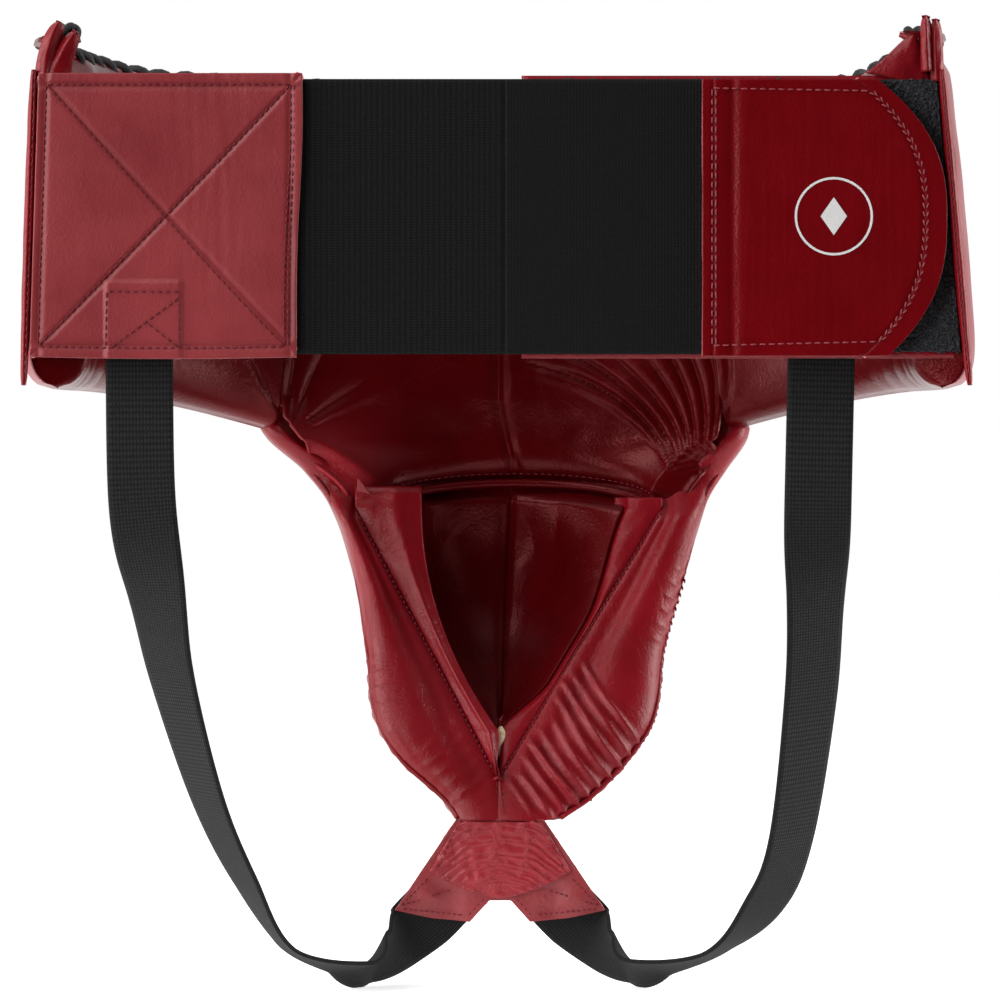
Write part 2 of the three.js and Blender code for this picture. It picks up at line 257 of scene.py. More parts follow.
def closeTube(bm):
    # join the seam of a rolled-up grid and cap its ends
    bmesh.ops.remove_doubles(bm, verts=bm.verts, dist=1e-6)
    bmesh.ops.holes_fill(bm, edges=[e for e in bm.edges if e.is_boundary], sides=0)
    bmesh.ops.recalc_face_normals(bm, faces=bm.faces)


def applyModifiers(piece):
    graph = bpy.context.evaluated_depsgraph_get()
    mesh = bpy.data.meshes.new_from_object(piece.evaluated_get(graph))
    old = piece.data
    piece.modifiers.clear()
    piece.data = mesh
    bpy.data.meshes.remove(old)


def curveTube(name, points, radius, material, body, replaced=(), sides=3, closed=False):
    data = bpy.data.curves.new(name, "CURVE")
    data.dimensions = "3D"
    data.bevel_depth = radius * mm
    data.bevel_resolution = sides
    data.use_fill_caps = True
    spline = data.splines.new("POLY")
    spline.points.add(len(points) - 1)
    for spot, point in zip(spline.points, points):
        spot.co = (*(point * mm), 1)
    spline.use_cyclic_u = closed
    holder = bpy.data.objects.new(name + "Line", data)
    bpy.context.scene.collection.objects.link(holder)
    mesh = bpy.data.meshes.new_from_object(holder.evaluated_get(bpy.context.evaluated_depsgraph_get()))
    bpy.data.objects.remove(holder)
    bpy.data.curves.remove(data)
    bm = bmesh.new()
    bm.from_mesh(mesh)
    bpy.data.meshes.remove(mesh)
    bmesh.ops.remove_doubles(bm, verts=bm.verts, dist=1e-6)
    bmesh.ops.recalc_face_normals(bm, faces=bm.faces)
    return finishObject(name, bm, material, body, replaced)


def smoothRoute(points, perSpan=8):
    # a smooth line through given points
    route = []
    for i in range(len(points) - 1):
        a = points[max(i - 1, 0)]
        b, c = points[i], points[i + 1]
        d = points[min(i + 2, len(points) - 1)]
        for k in range(perSpan):
            t = k / perSpan
            route.append(0.5 * (2 * b + (c - a) * t + (2 * a - 5 * b + 4 * c - d) * t * t
                                + (3 * b - a - 3 * c + d) * t**3))
    route.append(points[-1].copy())
    return route


def evenSteps(route, step):
    # points a set distance apart along a line, with the direction at each
    lengths = [0.0]
    for a, b in zip(route, route[1:]):
        lengths.append(lengths[-1] + (b - a).length)
    count = max(1, round(lengths[-1] / step))
    spots, k = [], 0
    for i in range(count):
        goal = (i + 0.5) / count * lengths[-1]
        while k < len(route) - 2 and lengths[k + 1] < goal:
            k += 1
        share = (goal - lengths[k]) / max(lengths[k + 1] - lengths[k], 1e-9)
        spots.append((route[k].lerp(route[k + 1], share), (route[k + 1] - route[k]).normalized()))
    return spots


def toCamera(point):
    return Vector((0, -1, 0))


def stitchRow(bm, route, normalAt=toCamera, length=2.6, gap=0.9, width=0.75, lift=0.15, slant=0.0):
    # thread laid in short stitches along a line
    for spot, along in evenSteps(route, length + gap):
        up = normalAt(spot).normalized()
        across = up.cross(along).normalized()
        along = (along + across * slant).normalized()
        across = up.cross(along).normalized()
        made = bmesh.ops.create_uvsphere(bm, u_segments=6, v_segments=4, radius=1.0)
        for v in made["verts"]:
            local = v.co.copy()
            v.co = (spot + up * lift + along * local.z * length / 2
                    + across * local.x * width / 2 + up * local.y * width / 2.4) * mm


def stitchPiece(name, rows, material, body):
    bm = bmesh.new()
    for row in rows:
        stitchRow(bm, **row)
    bmesh.ops.recalc_face_normals(bm, faces=bm.faces)
    return finishObject(name, bm, material, body)


def newMaterial(name):
    material = bpy.data.materials.new(name)
    material.use_nodes = True
    tree = material.node_tree
    return material, tree, tree.nodes["Principled BSDF"]


def addNode(tree, kind, **values):
    node = tree.nodes.new(kind)
    for key, value in values.items():
        if hasattr(node, key) and key not in node.inputs:
            setattr(node, key, value)
        else:
            node.inputs[key].default_value = value
    return node


def addRange(tree, source, start, end, lowest=0.0, highest=1.0):
    ease = addNode(tree, "ShaderNodeMapRange")
    for name, value in (("From Min", start), ("From Max", end), ("To Min", lowest), ("To Max", highest)):
        ease.inputs[name].default_value = value
    tree.links.new(source, ease.inputs["Value"])
    return ease


def addRamp(tree, source, stops):
    ramp = tree.nodes.new("ShaderNodeValToRGB")
    for element, (position, colour) in zip(ramp.color_ramp.elements, (stops[0], stops[-1])):
        element.position = position
        element.color = colour
    for position, colour in stops[1:-1]:
        ramp.color_ramp.elements.new(position).color = colour
    tree.links.new(source, ramp.inputs["Fac"])
    return ramp.outputs["Color"]


def addBump(tree, height, strength, distance, below=None):
    node = tree.nodes.new("ShaderNodeBump")
    node.inputs["Strength"].default_value = strength
    node.inputs["Distance"].default_value = distance
    tree.links.new(height, node.inputs["Height"])
    if below is not None:
        tree.links.new(below, node.inputs["Normal"])
    return node.outputs["Normal"]


def leatherMaterial(name, colour, dark, rough=(0.3, 0.45), grain=0.35, crease=0.5, stretch=(1, 1, 1),
                    creaseSize=55, beside=None, shine=0.35, tint=1.0):
    # pores and soft creases on mottled dye; tint is how much green and blue its highlights keep; beside, when
    # given, is a painted-light colour for the left flank
    material, tree, shader = newMaterial(name)
    link = tree.links.new
    place = addNode(tree, "ShaderNodeTexCoord")
    turn = addNode(tree, "ShaderNodeMapping")
    turn.inputs["Scale"].default_value = stretch
    link(place.outputs["Object"], turn.inputs["Vector"])
    mottle = addNode(tree, "ShaderNodeTexNoise", Scale=22.0, Detail=4.0, Roughness=0.6)
    link(place.outputs["Object"], mottle.inputs["Vector"])
    dyeAndPaintedLight = addRamp(tree, mottle.outputs["Fac"], [(0.3, dark), (0.6, colour)])
    if beside:
        # painted light: a brighter colour on the left flank, where the lining turns into the leg pad and
        # catches the light from the left
        split = addNode(tree, "ShaderNodeSeparateXYZ")
        link(place.outputs["Object"], split.inputs["Vector"])
        share = addNode(tree, "ShaderNodeMath", operation="MULTIPLY")
        for slot, axis, start, end in ((0, "X", -0.036, -0.07), (1, "Z", -0.062, -0.095)):
            ease = addRange(tree, split.outputs[axis], start, end)
            ease.interpolation_type = "SMOOTHSTEP"
            link(ease.outputs["Result"], share.inputs[slot])
        blend = addNode(tree, "ShaderNodeMix")
        blend.data_type = "RGBA"
        link(share.outputs["Value"], blend.inputs["Factor"])
        link(dyeAndPaintedLight, blend.inputs[6])
        blend.inputs[7].default_value = beside
        dyeAndPaintedLight = blend.outputs[2]
    link(dyeAndPaintedLight, shader.inputs["Base Color"])
    wear = addNode(tree, "ShaderNodeTexNoise", Scale=60.0, Detail=5.0, Roughness=0.65)
    link(place.outputs["Object"], wear.inputs["Vector"])
    roughness = addRange(tree, wear.outputs["Fac"], 0.0, 1.0, *rough)
    link(roughness.outputs["Result"], shader.inputs["Roughness"])
    pores = addNode(tree, "ShaderNodeTexVoronoi", Scale=1150.0, Randomness=1.0)
    pores.feature = "SMOOTH_F1"
    link(place.outputs["Object"], pores.inputs["Vector"])
    fine = addBump(tree, pores.outputs["Distance"], grain, 0.00025)
    folds = addNode(tree, "ShaderNodeTexNoise", Scale=creaseSize, Detail=6.0, Roughness=0.62, Distortion=1.1)
    link(turn.outputs["Vector"], folds.inputs["Vector"])
    lines = addRamp(tree, folds.outputs["Fac"],
                    [(0.40, (1, 1, 1, 1)), (0.5, (0, 0, 0, 1)), (0.60, (1, 1, 1, 1))])
    creased = addBump(tree, lines, crease * 0.25, 0.0006, fine)
    soft = addBump(tree, folds.outputs["Fac"], crease, 0.0012, creased)
    link(soft, shader.inputs["Normal"])
    shader.inputs["Specular IOR Level"].default_value = shine
    shader.inputs["Specular Tint"].default_value = (1, tint, tint, 1)
    return material


def wovenMaterial(name, colour, light, ribs, picks):
    # knitted elastic: fine ribs along the band and picks across it, on the piece's own UV in millimetres
    material, tree, shader = newMaterial(name)
    link = tree.links.new
    place = addNode(tree, "ShaderNodeTexCoord")
    rib = addNode(tree, "ShaderNodeTexWave", Scale=ribs, Distortion=0.4, Detail=1.0)
    rib.bands_direction = "Y"
    pick = addNode(tree, "ShaderNodeTexWave", Scale=picks, Distortion=0.5, Detail=1.0)
    pick.bands_direction = "X"
    link(place.outputs["UV"], rib.inputs["Vector"])
    link(place.outputs["UV"], pick.inputs["Vector"])
    both = addNode(tree, "ShaderNodeMath", operation="MULTIPLY")
    link(rib.outputs["Fac"], both.inputs[0])
    link(pick.outputs["Fac"], both.inputs[1])
    lint = addNode(tree, "ShaderNodeTexNoise", Scale=900.0, Detail=2.0)
    link(place.outputs["Object"], lint.inputs["Vector"])
    mixed = addNode(tree, "ShaderNodeMath", operation="MULTIPLY_ADD")
    mixed.inputs[1].default_value = 0.5
    link(lint.outputs["Fac"], mixed.inputs[0])
    link(both.outputs["Value"], mixed.inputs[2])
    link(addRamp(tree, mixed.outputs["Value"], [(0.1, colour), (1.0, light)]), shader.inputs["Base Color"])
    link(addBump(tree, mixed.outputs["Value"], 0.6, 0.0003), shader.inputs["Normal"])
    shader.inputs["Roughness"].default_value = 0.85
    shader.inputs["Specular IOR Level"].default_value = 0.12
    shader.inputs["Sheen Weight"].default_value = 0.02
    shader.inputs["Sheen Roughness"].default_value = 0.5
    return material


def simpleMaterial(name, colour, light, scale, rough, strength=0.4, distance=0.0004, spec=0.4):
    # a speckled finish, its specks a little raised
    material, tree, shader = newMaterial(name)
    link = tree.links.new
    place = addNode(tree, "ShaderNodeTexCoord")
    speck = addNode(tree, "ShaderNodeTexNoise", Scale=scale, Detail=4.0, Roughness=0.7)
    link(place.outputs["Object"], speck.inputs["Vector"])
    link(addRamp(tree, speck.outputs["Fac"], [(0.35, colour), (0.7, light)]), shader.inputs["Base Color"])
    link(addBump(tree, speck.outputs["Fac"], strength, distance), shader.inputs["Normal"])
    shader.inputs["Roughness"].default_value = rough
    shader.inputs["Specular IOR Level"].default_value = spec
    return material


coverLeather = leatherMaterial("coverLeather", (0.215, 0.0035, 0.0095, 1), (0.15, 0.0015, 0.004, 1),
                               rough=(0.28, 0.42), shine=0.32, tint=0.75)
flapLeather = leatherMaterial("flapLeather", (0.165, 0.0008, 0.0035, 1), (0.13, 0.0004, 0.002, 1),
                              rough=(0.28, 0.40), crease=0.12, stretch=(1.2, 1, 0.7), shine=0.3, tint=0.6)
# the lining's dark red is painted shade: the same red leather as the cover, darkened for the shade inside the
# body under the band; beside is its brighter painted-light left flank
liningLeatherPaintedShade = leatherMaterial("liningLeatherPaintedShade", (0.085, 0.0007, 0.0022, 1), (0.055, 0.0004, 0.001, 1),
                                rough=(0.22, 0.36), crease=0.4, shine=0.35, tint=0.3,
                                beside=(0.24, 0.01, 0.016, 1))
patchLeather = leatherMaterial("patchLeather", (0.27, 0.032, 0.037, 1), (0.20, 0.018, 0.022, 1),
                               rough=(0.36, 0.5), crease=0.14, stretch=(1.3, 1, 0.6), shine=0.35)
tabLeather = leatherMaterial("tabLeather", (0.29, 0.014, 0.022, 1), (0.20, 0.006, 0.011, 1),
                             rough=(0.32, 0.46), crease=1.0, creaseSize=110)
cutEdge = simpleMaterial("cutEdge", (0.50, 0.10, 0.11, 1), (0.66, 0.22, 0.22, 1), 700, 0.75)
redThread = simpleMaterial("redThread", (0.10, 0.004, 0.008, 1), (0.19, 0.012, 0.02, 1), 2500, 0.6, spec=0.3)
paleThread = simpleMaterial("paleThread", (0.24, 0.03, 0.04, 1), (0.36, 0.07, 0.08, 1), 2500, 0.6, spec=0.3)
bandElastic = wovenMaterial("bandElastic", (0.003, 0.003, 0.003, 1), (0.011, 0.011, 0.011, 1), 0.32, 0.25)
strapElastic = wovenMaterial("strapElastic", (0.007, 0.007, 0.007, 1), (0.024, 0.025, 0.025, 1), 0.32, 0.25)
laceCord = simpleMaterial("laceCord", (0.005, 0.005, 0.006, 1), (0.022, 0.021, 0.022, 1), 1800, 0.55, 0.8,
                          0.0006)
loopPile = simpleMaterial("loopPile", (0.004, 0.004, 0.005, 1), (0.10, 0.10, 0.11, 1), 1300, 0.95, 1.0, 0.0012,
                          0.15)
hookTape = simpleMaterial("hookTape", (0.006, 0.006, 0.007, 1), (0.03, 0.03, 0.032, 1), 1600, 0.6, 1.0, 0.0008)
edgeLeather = simpleMaterial("edgeLeather", (0.34, 0.06, 0.06, 1), (0.55, 0.24, 0.22, 1), 500, 0.85, 1.0, 0.001)
foamMaterial = simpleMaterial("foamMaterial", (0.55, 0.42, 0.25, 1), (0.75, 0.62, 0.42, 1), 800, 0.95, 0.8,
                              0.0008)
cupPlastic = simpleMaterial("cupPlastic", (0.62, 0.58, 0.5, 1), (0.72, 0.69, 0.62, 1), 40, 0.45, 0.1, 0.0002)
printInk = simpleMaterial("printInk", (0.72, 0.70, 0.69, 1), (0.85, 0.84, 0.83, 1), 1500, 0.55, 0.2, 0.0001)

# the stuffing and the cup keep their shapes and only get a finish
for node in ("waist_foam_left", "waist_foam_right", "cup_foam", "cup_liner_foam", "cup_shell"):
    material = cupPlastic if node == "cup_shell" else foamMaterial
    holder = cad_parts[node]
    holder.data.materials.clear()
    holder.data.materials.append(material)
print("materials made")


studio = {
    "distance": 2000,  # from the band to the lens
    "across": 370,  # what the view spans at the band
    "height": -105,
    "skyBehind": 0.95,  # brightness of the tent behind the object, above it and on the viewer's side
    "skyAbove": 0.45,
    "skyFront": 0.02,
    "floorReach": 4.0,  # half the floor's side, and how far back it is moved, in metres
    "floorBack": 3.7,
    "key": 31,  # watts
    "fill": 2.5,
    "sideLeft": 18,
    "sideRight": 24,
    "top": 15,
}


def addCamera():
    bandFace = low("belt_patch").y
    lens = bpy.data.cameras.new("viewer")
    lens.lens = lens.sensor_width * studio["distance"] / studio["across"]
    lens.clip_end = 20
    camera = bpy.data.objects.new("viewer", lens)
    camera.location = Vector((0, bandFace - studio["distance"], studio["height"])) * mm
    camera.rotation_euler = (math.pi / 2, 0, 0)
    bpy.context.scene.collection.objects.link(camera)
    bpy.context.scene.camera = camera


def addLight(name, spot, aim, size, power):
    data = bpy.data.lights.new(name, "AREA")
    data.shape = "RECTANGLE"
    data.size, data.size_y = size
    data.energy = power
    light = bpy.data.objects.new(name, data)
    light.location = spot
    light.rotation_euler = (Vector(aim) - Vector(spot)).to_track_quat("-Z", "Y").to_euler()
    bpy.context.scene.collection.objects.link(light)


def addFloor():
    bm = bmesh.new()
    bmesh.ops.create_grid(bm, x_segments=2, y_segments=2, size=studio["floorReach"])
    for v in bm.verts:
        v.co.z = cadBounds[0][2] - 0.0012
        v.co.y += studio["floorBack"]
    mesh = bpy.data.meshes.new("studioFloor")
    bm.to_mesh(mesh)
    bm.free()
    floor = bpy.data.objects.new("studioFloor", mesh)
    bpy.context.scene.collection.objects.link(floor)
    paper, tree, shader = newMaterial("paper")
    shader.inputs["Base Color"].default_value = (0.93, 0.93, 0.93, 1)
    shader.inputs["Roughness"].default_value = 0.9
    shader.inputs["Specular IOR Level"].default_value = 0.1
    shader.inputs["Emission Color"].default_value = (1, 1, 1, 1)
    shader.inputs["Emission Strength"].default_value = 0.55
    mesh.materials.append(paper)


def addTent():
    # a white tent: bright behind the object and overhead, dim on the viewer's side, white to the eye
    world = bpy.data.worlds.new("tent")
    bpy.context.scene.world = world
    world.use_nodes = True
    tree = world.node_tree
    link = tree.links.new
    place = addNode(tree, "ShaderNodeTexCoord")
    split = addNode(tree, "ShaderNodeSeparateXYZ")
    link(place.outputs["Generated"], split.inputs["Vector"])
    behind = addRange(tree, split.outputs["Y"], -0.2, 0.5, studio["skyFront"], studio["skyBehind"])
    above = addRange(tree, split.outputs["Z"], 0.3, 0.9, 0.0, studio["skyAbove"])
    both = addNode(tree, "ShaderNodeMath", operation="MAXIMUM")
    link(behind.outputs["Result"], both.inputs[0])
    link(above.outputs["Result"], both.inputs[1])
    seen = addNode(tree, "ShaderNodeLightPath")
    white = addNode(tree, "ShaderNodeMath", operation="MAXIMUM")
    link(both.outputs["Value"], white.inputs[0])
    link(seen.outputs["Is Camera Ray"], white.inputs[1])
    link(white.outputs["Value"], tree.nodes["Background"].inputs["Strength"])
    tree.nodes["Background"].inputs["Color"].default_value = (1, 1, 1, 1)


def addStudio():
    addFloor()
    addTent()
    addLight("keyLeft", (-1.7, -1.8, 0.4), (-0.05, 0, -0.08), (0.9, 1.4), studio["key"])
    addLight("fillRight", (2.0, -1.0, 0.2), (0.05, 0, -0.1), (0.8, 1.4), studio["fill"])
    addLight("sideRight", (1.5, 0.1, 0.2), (0.1, 0, -0.05), (0.8, 1.2), studio["sideRight"])
    addLight("sideLeft", (-1.5, -0.2, 0.1), (-0.1, 0, -0.1), (0.8, 1.2), studio["sideLeft"])
    addLight("topSoft", (-0.9, -0.6, 1.1), (0, 0, -0.15), (1.2, 0.9), studio["top"])
    bpy.context.scene.view_settings.view_transform = "Standard"


addCamera()
addStudio()
print("studio ready")


# padded wings round the hips
wings = {"leather": 1.8, "roundness": 9, "endStart": 102.3, "endRound": 2.0, "endShare": 0.86}
# where the folds of the lining fan out from in x and z, between which angles, how many, and how far they run
liningPleats = {
    "right": {"depth": 3.2, "spot": (74, -106), "angles": (52, 122), "count": 9, "reach": 104, "seed": 1,
              "curl": 0.4},
    "left": {"depth": 2.6, "spot": (-84, -80), "angles": (20, 130), "count": 5, "reach": 62, "seed": 2,
             "curl": -0.1},
}


def wallHalf(height):
    # half thickness of the stuffed wall at a share of its height, closing at its sewn edges
    return wall["thick"] / 2 * max(1 - abs(2 * height - 1) ** wings["roundness"], 0) ** 0.5


def pleats(own, x, z):
    # folds that fan out from one spot of the lining
    spot, angles, seed = own["spot"], own["angles"], own["seed"]
    away = math.hypot(x - spot[0], z - spot[1])
    turn = math.degrees(math.atan2(z - spot[1], x - spot[0]))
    share = (turn - angles[0] - own["curl"] * (away - 25)) / (angles[1] - angles[0])
    if share <= 0 or share >= 1:
        return 0.0
    count = own["count"]
    wander = 0.5 * seamNoise(share * 4, away * 0.02, seed, 5)
    crest = abs(math.sin(math.pi * (share * count + wander)))
    size = 0.55 + 0.9 * abs(seamNoise(math.floor(share * count + wander) * 1.7, seed, 0.5, 9))
    window = smooth(share / 0.1) * smooth((1 - share) / 0.1) * smooth(away / 12)
    window *= smooth((own["reach"] - away) / 45)
    return (crest ** 0.7 - 0.5) * size * window


def liningFolds(x, z):
    right, left = (liningPleats[word]["depth"] * pleats(liningPleats[word], x, z) for word in ("right", "left"))
    soft = 1.1 * seamNoise(x * 0.025, z * 0.03, 0.4, 12) + 0.5 * seamNoise(x * 0.09, z * 0.09, 1.4, 13)
    return right + left + soft


def wingPoint(direction, angle, height, outside):
    z = mix(topAt(direction * angle) + 2.5, wingBottomAt(angle), height)
    half = wallHalf(height)
    calm = math.sin(math.pi * clamp(height, 0.02, 0.98)) ** 0.4
    middle = wall["thick"] / 2
    if outside:
        slack = 0.9 * seamNoise(angle * 0.07, z * 0.035, direction, 3) * calm
        return hipPoint(direction * angle, middle - half - slack, z)
    full = middle + half - wall["thick"] * pinchAt(angle, z)
    plain = hipPoint(direction * angle, full, z)
    near = smooth((78 - angle) / 20)
    tucks = 1.1 * abs(math.sin(angle * 0.8 + z * 0.03 + 2.2 * seamNoise(angle * 0.1, 0, z * 0.02, 19)))
    gathered = smooth((wingBottomAt(angle) + 26 - z) / 22)
    grow = liningFolds(plain.x, z) * near * calm + tucks * gathered * (1 - near) * calm
    return hipPoint(direction * angle, full + grow * (1 - pinchAt(angle, z)), z)


def addWing(word, direction):
    lay = math.radians(wall["endAngle"] - wall["seamAngle"]) * wall["halfWidth"]

    def outer(u, w):
        return wingPoint(direction, mix(wall["seamAngle"] - 0.2, wall["endAngle"] + 0.3, u), w, True)

    def inner(u, w):
        flat = wings["endShare"]
        if u <= flat:
            return wingPoint(direction, mix(wall["seamAngle"] - 0.2, wings["endStart"], u / flat), w, False)
        # round the stuffed end, to meet the outer leather
        turn = (u - flat) / (1 - flat) * math.pi / 2
        angle = wings["endStart"] + wings["endRound"] * math.sin(turn) ** 0.6
        start = wingPoint(direction, angle, w, False)
        return start.lerp(wingPoint(direction, angle, w, True), 1 - math.cos(turn))

    away = lambda p: Vector((p.x, p.y, 0))
    paddedPiece(f"hipCover_{word}", gridSheet(110, 80, outer, (lay, 125), away), coverLeather,
                [f"hip_panel_{word}"], wings["leather"])
    paddedPiece(f"hipLining_{word}", gridSheet(180, 100, inner, (lay, 125), lambda p: -away(p)), liningLeatherPaintedShade,
                [f"hip_lining_{word}"], wings["leather"])


for word, direction in (("left", -1), ("right", 1)):
    addWing(word, direction)
print("wings made")


# front panels, and the lining above the arch
front = {"leather": 1.8, "seamDip": 2.2, "hem": 9}


def edgeDraw(z, side):
    # how far both skins are drawn together at the top edge
    height = clamp((topAt(side * wall["seamAngle"]) + 2.5 - z) / 14)
    return wall["thick"] / 2 * (1 - math.sqrt(max(1 - (1 - height) ** 2, 0)))


def addFrontCover(word, direction):
    def outer(u, w):
        side = direction * u
        z = mix(topAt(side * wall["seamAngle"]) + 2.5, wall["bottom"] + 0.5, w)
        dip = front["seamDip"] * (bump(side, 0, 0.03) + 0.6 * bump(u, 1, 0.03) * smooth((z + 90) / 20))
        slack = 0.8 * seamNoise(side * 2.5, z * 0.03, 1, 8) + 0.25 * seamNoise(side * 11, z * 0.12, 1, 18)
        return bodyPoint(side, edgeDraw(z, side) + dip - slack, z)

    bm = gridSheet(80, 200, outer, (100, 290), lambda p: Vector((p.x * 0.6, 1, 0)))
    paddedPiece(f"frontCover_{word}", bm, coverLeather, [f"front_panel_{word}"],
                front["leather"])


def addFrontLining(word, direction):
    def inner(u, w):
        side = direction * u
        top = topAt(side * wall["seamAngle"]) + 2.5
        z = mix(top, archAt(side) - 1.5, w)
        inset = wall["thick"] - edgeDraw(z, side)
        plain = bodyPoint(side, inset, z)
        hem = archAt(side) - 1.5
        seam = 1.7 * bump(side, 0.0, 0.03) - 0.9 * bump(side, 0.0, 0.008)
        swell = 2.6 * bump(z, hem + front["hem"] + 1, 7) - 1.5 * bump(z, hem + 2.5, 2.2)
        calm = smooth((z - hem - 3) / 10) * smooth((top - z) / 12)
        grow = liningFolds(plain.x, z) * calm * (1 - 0.85 * bump(side, 0, 0.09)) + swell - seam
        # the outer edge turns away under the pads at the sides
        turned = 14 * smooth((u - 0.88) / 0.12) * smooth((-80 - z) / 10)
        return bodyPoint(side, inset + grow - turned, z)

    bm = gridSheet(150, 170, inner, (100, 170), lambda p: Vector((-p.x * 0.6, -1, 0)))
    paddedPiece(f"frontLining_{word}", bm, liningLeatherPaintedShade, [f"front_lining_{word}"],
                front["leather"])


for word, direction in (("left", -1), ("right", 1)):
    addFrontCover(word, direction)
    addFrontLining(word, direction)
print("front made")


# the mouth of the well: the stitched V beside the leg pads, and the lips of its rim leather
veeTop = {"z": -108, "left": -57.7, "right": 64.5}
veeTip = {"z": -214, "x": -0.8}
mouthTop, mouthTip = -104, -196
rims = {"leather": 1.4, "left": {"top": -99.5, "lip": 0.7}, "right": {"top": -104, "lip": 0.82}}
pads = {
    "leather": 1.6,
    "top": -62,
    "left": {"bulge": 6.5, "pitch": 7.5, "slope": 0.7, "depth": 0.5, "from": -168, "to": -222, "fine": 0.35,
             "fineAt": -178},
    "right": {"bulge": 7.0, "pitch": 10.0, "slope": 1.5, "depth": 4.0, "from": -112, "to": -214, "fine": 0.9,
              "fineAt": -146},
}


def veeX(word, z):
    share = clamp((veeTop["z"] - z) / (veeTop["z"] - veeTip["z"]))
    return mix(veeTop[word], veeTip["x"], share)


def veeY(z):
    return stationValue(z, 3) - mix(5, 3, clamp((veeTop["z"] - z) / 100))


def mouthX(word, z):
    share = clamp((mouthTop - z) / (mouthTop - mouthTip))
    if word == "left":
        return mix(-31, 0, share ** 2.2)
    # the strip beside the stitched V is wide at its top and at the tip
    strip = 1.8 + 12 * (1 - smooth((mouthTop - z) / 52)) + 8.5 * smooth((mouthTip + 20 - z) / 20)
    return max(veeX(word, z) - strip, 0)


def mouthY(word, z):
    return veeY(z) - (2.5 if word == "left" else -1.5)


def padEdge(direction, z):
    # the outline of the body, drawn in a little where it is sewn
    out = bodyPoint(direction, 0, z)
    tucked = smooth((z + 77) / 12)
    forward = mix(7, -1, smooth((z + 104) / 26))
    return Vector((out.x + direction * mix(0.5, -9, tucked), stationValue(z, 3) + forward - 4 * tucked, z))


def padStart(word, direction, z):
    # the pad's inner edge: the stitched V, and above it the fold that runs up to the hip
    seam = Vector((veeX(word, min(z, veeTop["z"])), veeY(z), z))
    lift = smooth((z - veeTop["z"] + 2) / 34)
    fold = bodyPoint(direction * mix(0.84, 0.97, lift), wall["thick"] + 0.5, z) + Vector((0, 5, 0))
    return seam.lerp(fold, smooth((z - veeTop["z"] + 6) / 20))


def legPadPoint(word, direction, along, across):
    z = mix(pads["top"], wall["bottom"] + 0.5, along)
    start, edge = padStart(word, direction, z), padEdge(direction, z)
    bend = across * math.pi / 2
    fade = smooth((z - wall["bottom"]) / 40)
    bulge = pads[word]["bulge"] * mix(0.35, 1, fade) * math.sin(math.pi * across) ** 0.8
    bulge *= mix(1, 0.45, smooth((z + 112) / 25))
    valley = 2.2 * bump(across, 0.16, 0.09) * fade
    # the top end runs in under the lining of the wing
    tuck = 7 * smooth((z + 82) / 14) * (1 - across)
    x = mix(start.x, edge.x, math.sin(bend))
    y = mix(start.y, edge.y, (1 - math.cos(bend)) ** 1.1) - bulge + valley + tuck
    return Vector((x, y, z))


def puckers(word, point, across):
    # sharp gathers that start at the stitched V and run down and outwards
    own = pads[word]
    level = point.z + own["slope"] * abs(point.x) + 3.5 * seamNoise(point.x * 0.04, 0, point.z * 0.04, 12)
    phase = level / own["pitch"]
    luck = [abs(seamNoise(round(phase) * 2.7, k * 3.1, 2, 23)) for k in range(3)]
    crest = (1 - abs(math.sin(math.pi * phase))) ** 1.4
    part = smooth((across - 0.15 * luck[0]) / 0.08) * smooth((1.04 - 0.5 * luck[1] - across) / 0.16)
    where = smooth((own["from"] - level) / 14) * smooth((level - own["to"]) / 12) * smooth((point.z + 232) / 8)
    grow = own["depth"] * (0.35 + 1.2 * luck[2]) * part * where * (crest - 0.22)
    # finer wrinkles beside the outer edge
    level = point.z + 0.45 * abs(point.x)
    small = (1 - abs(math.sin(math.pi * level / 6.3))) ** 2
    return grow + own["fine"] * small * bump(point.z, own["fineAt"], 14) * smooth((across - 0.5) / 0.2)


def addLegPad(word, direction):
    def spot(along, across):
        return legPadPoint(word, direction, clamp(along), clamp(across))

    def pad(u, w):
        point = spot(w, u)
        beside = spot(w, u + 0.02) - spot(w, u - 0.02)
        below = spot(w + 0.01, u) - spot(w - 0.01, u)
        up = beside.cross(below).normalized()
        if up.x * direction * u + (-up.y) * (1 - u) < 0:
            up = -up
        grow = puckers(word, point, u) + 0.7 * seamNoise(point.x * 0.05, point.y * 0.05, point.z * 0.045, 13)
        scallop = 0.8 * math.sin(w * 150) * smooth((u - 0.9) / 0.1) * smooth((-150 - point.z) / 30)
        return point + up * (grow + scallop * 0.5)

    bm = gridSheet(64, 330, pad, (40, 150), lambda p: Vector((0, -1, 0)))
    paddedPiece(f"legPad_{word}", bm, coverLeather, [f"leg_roll_{word}"], pads["leather"])


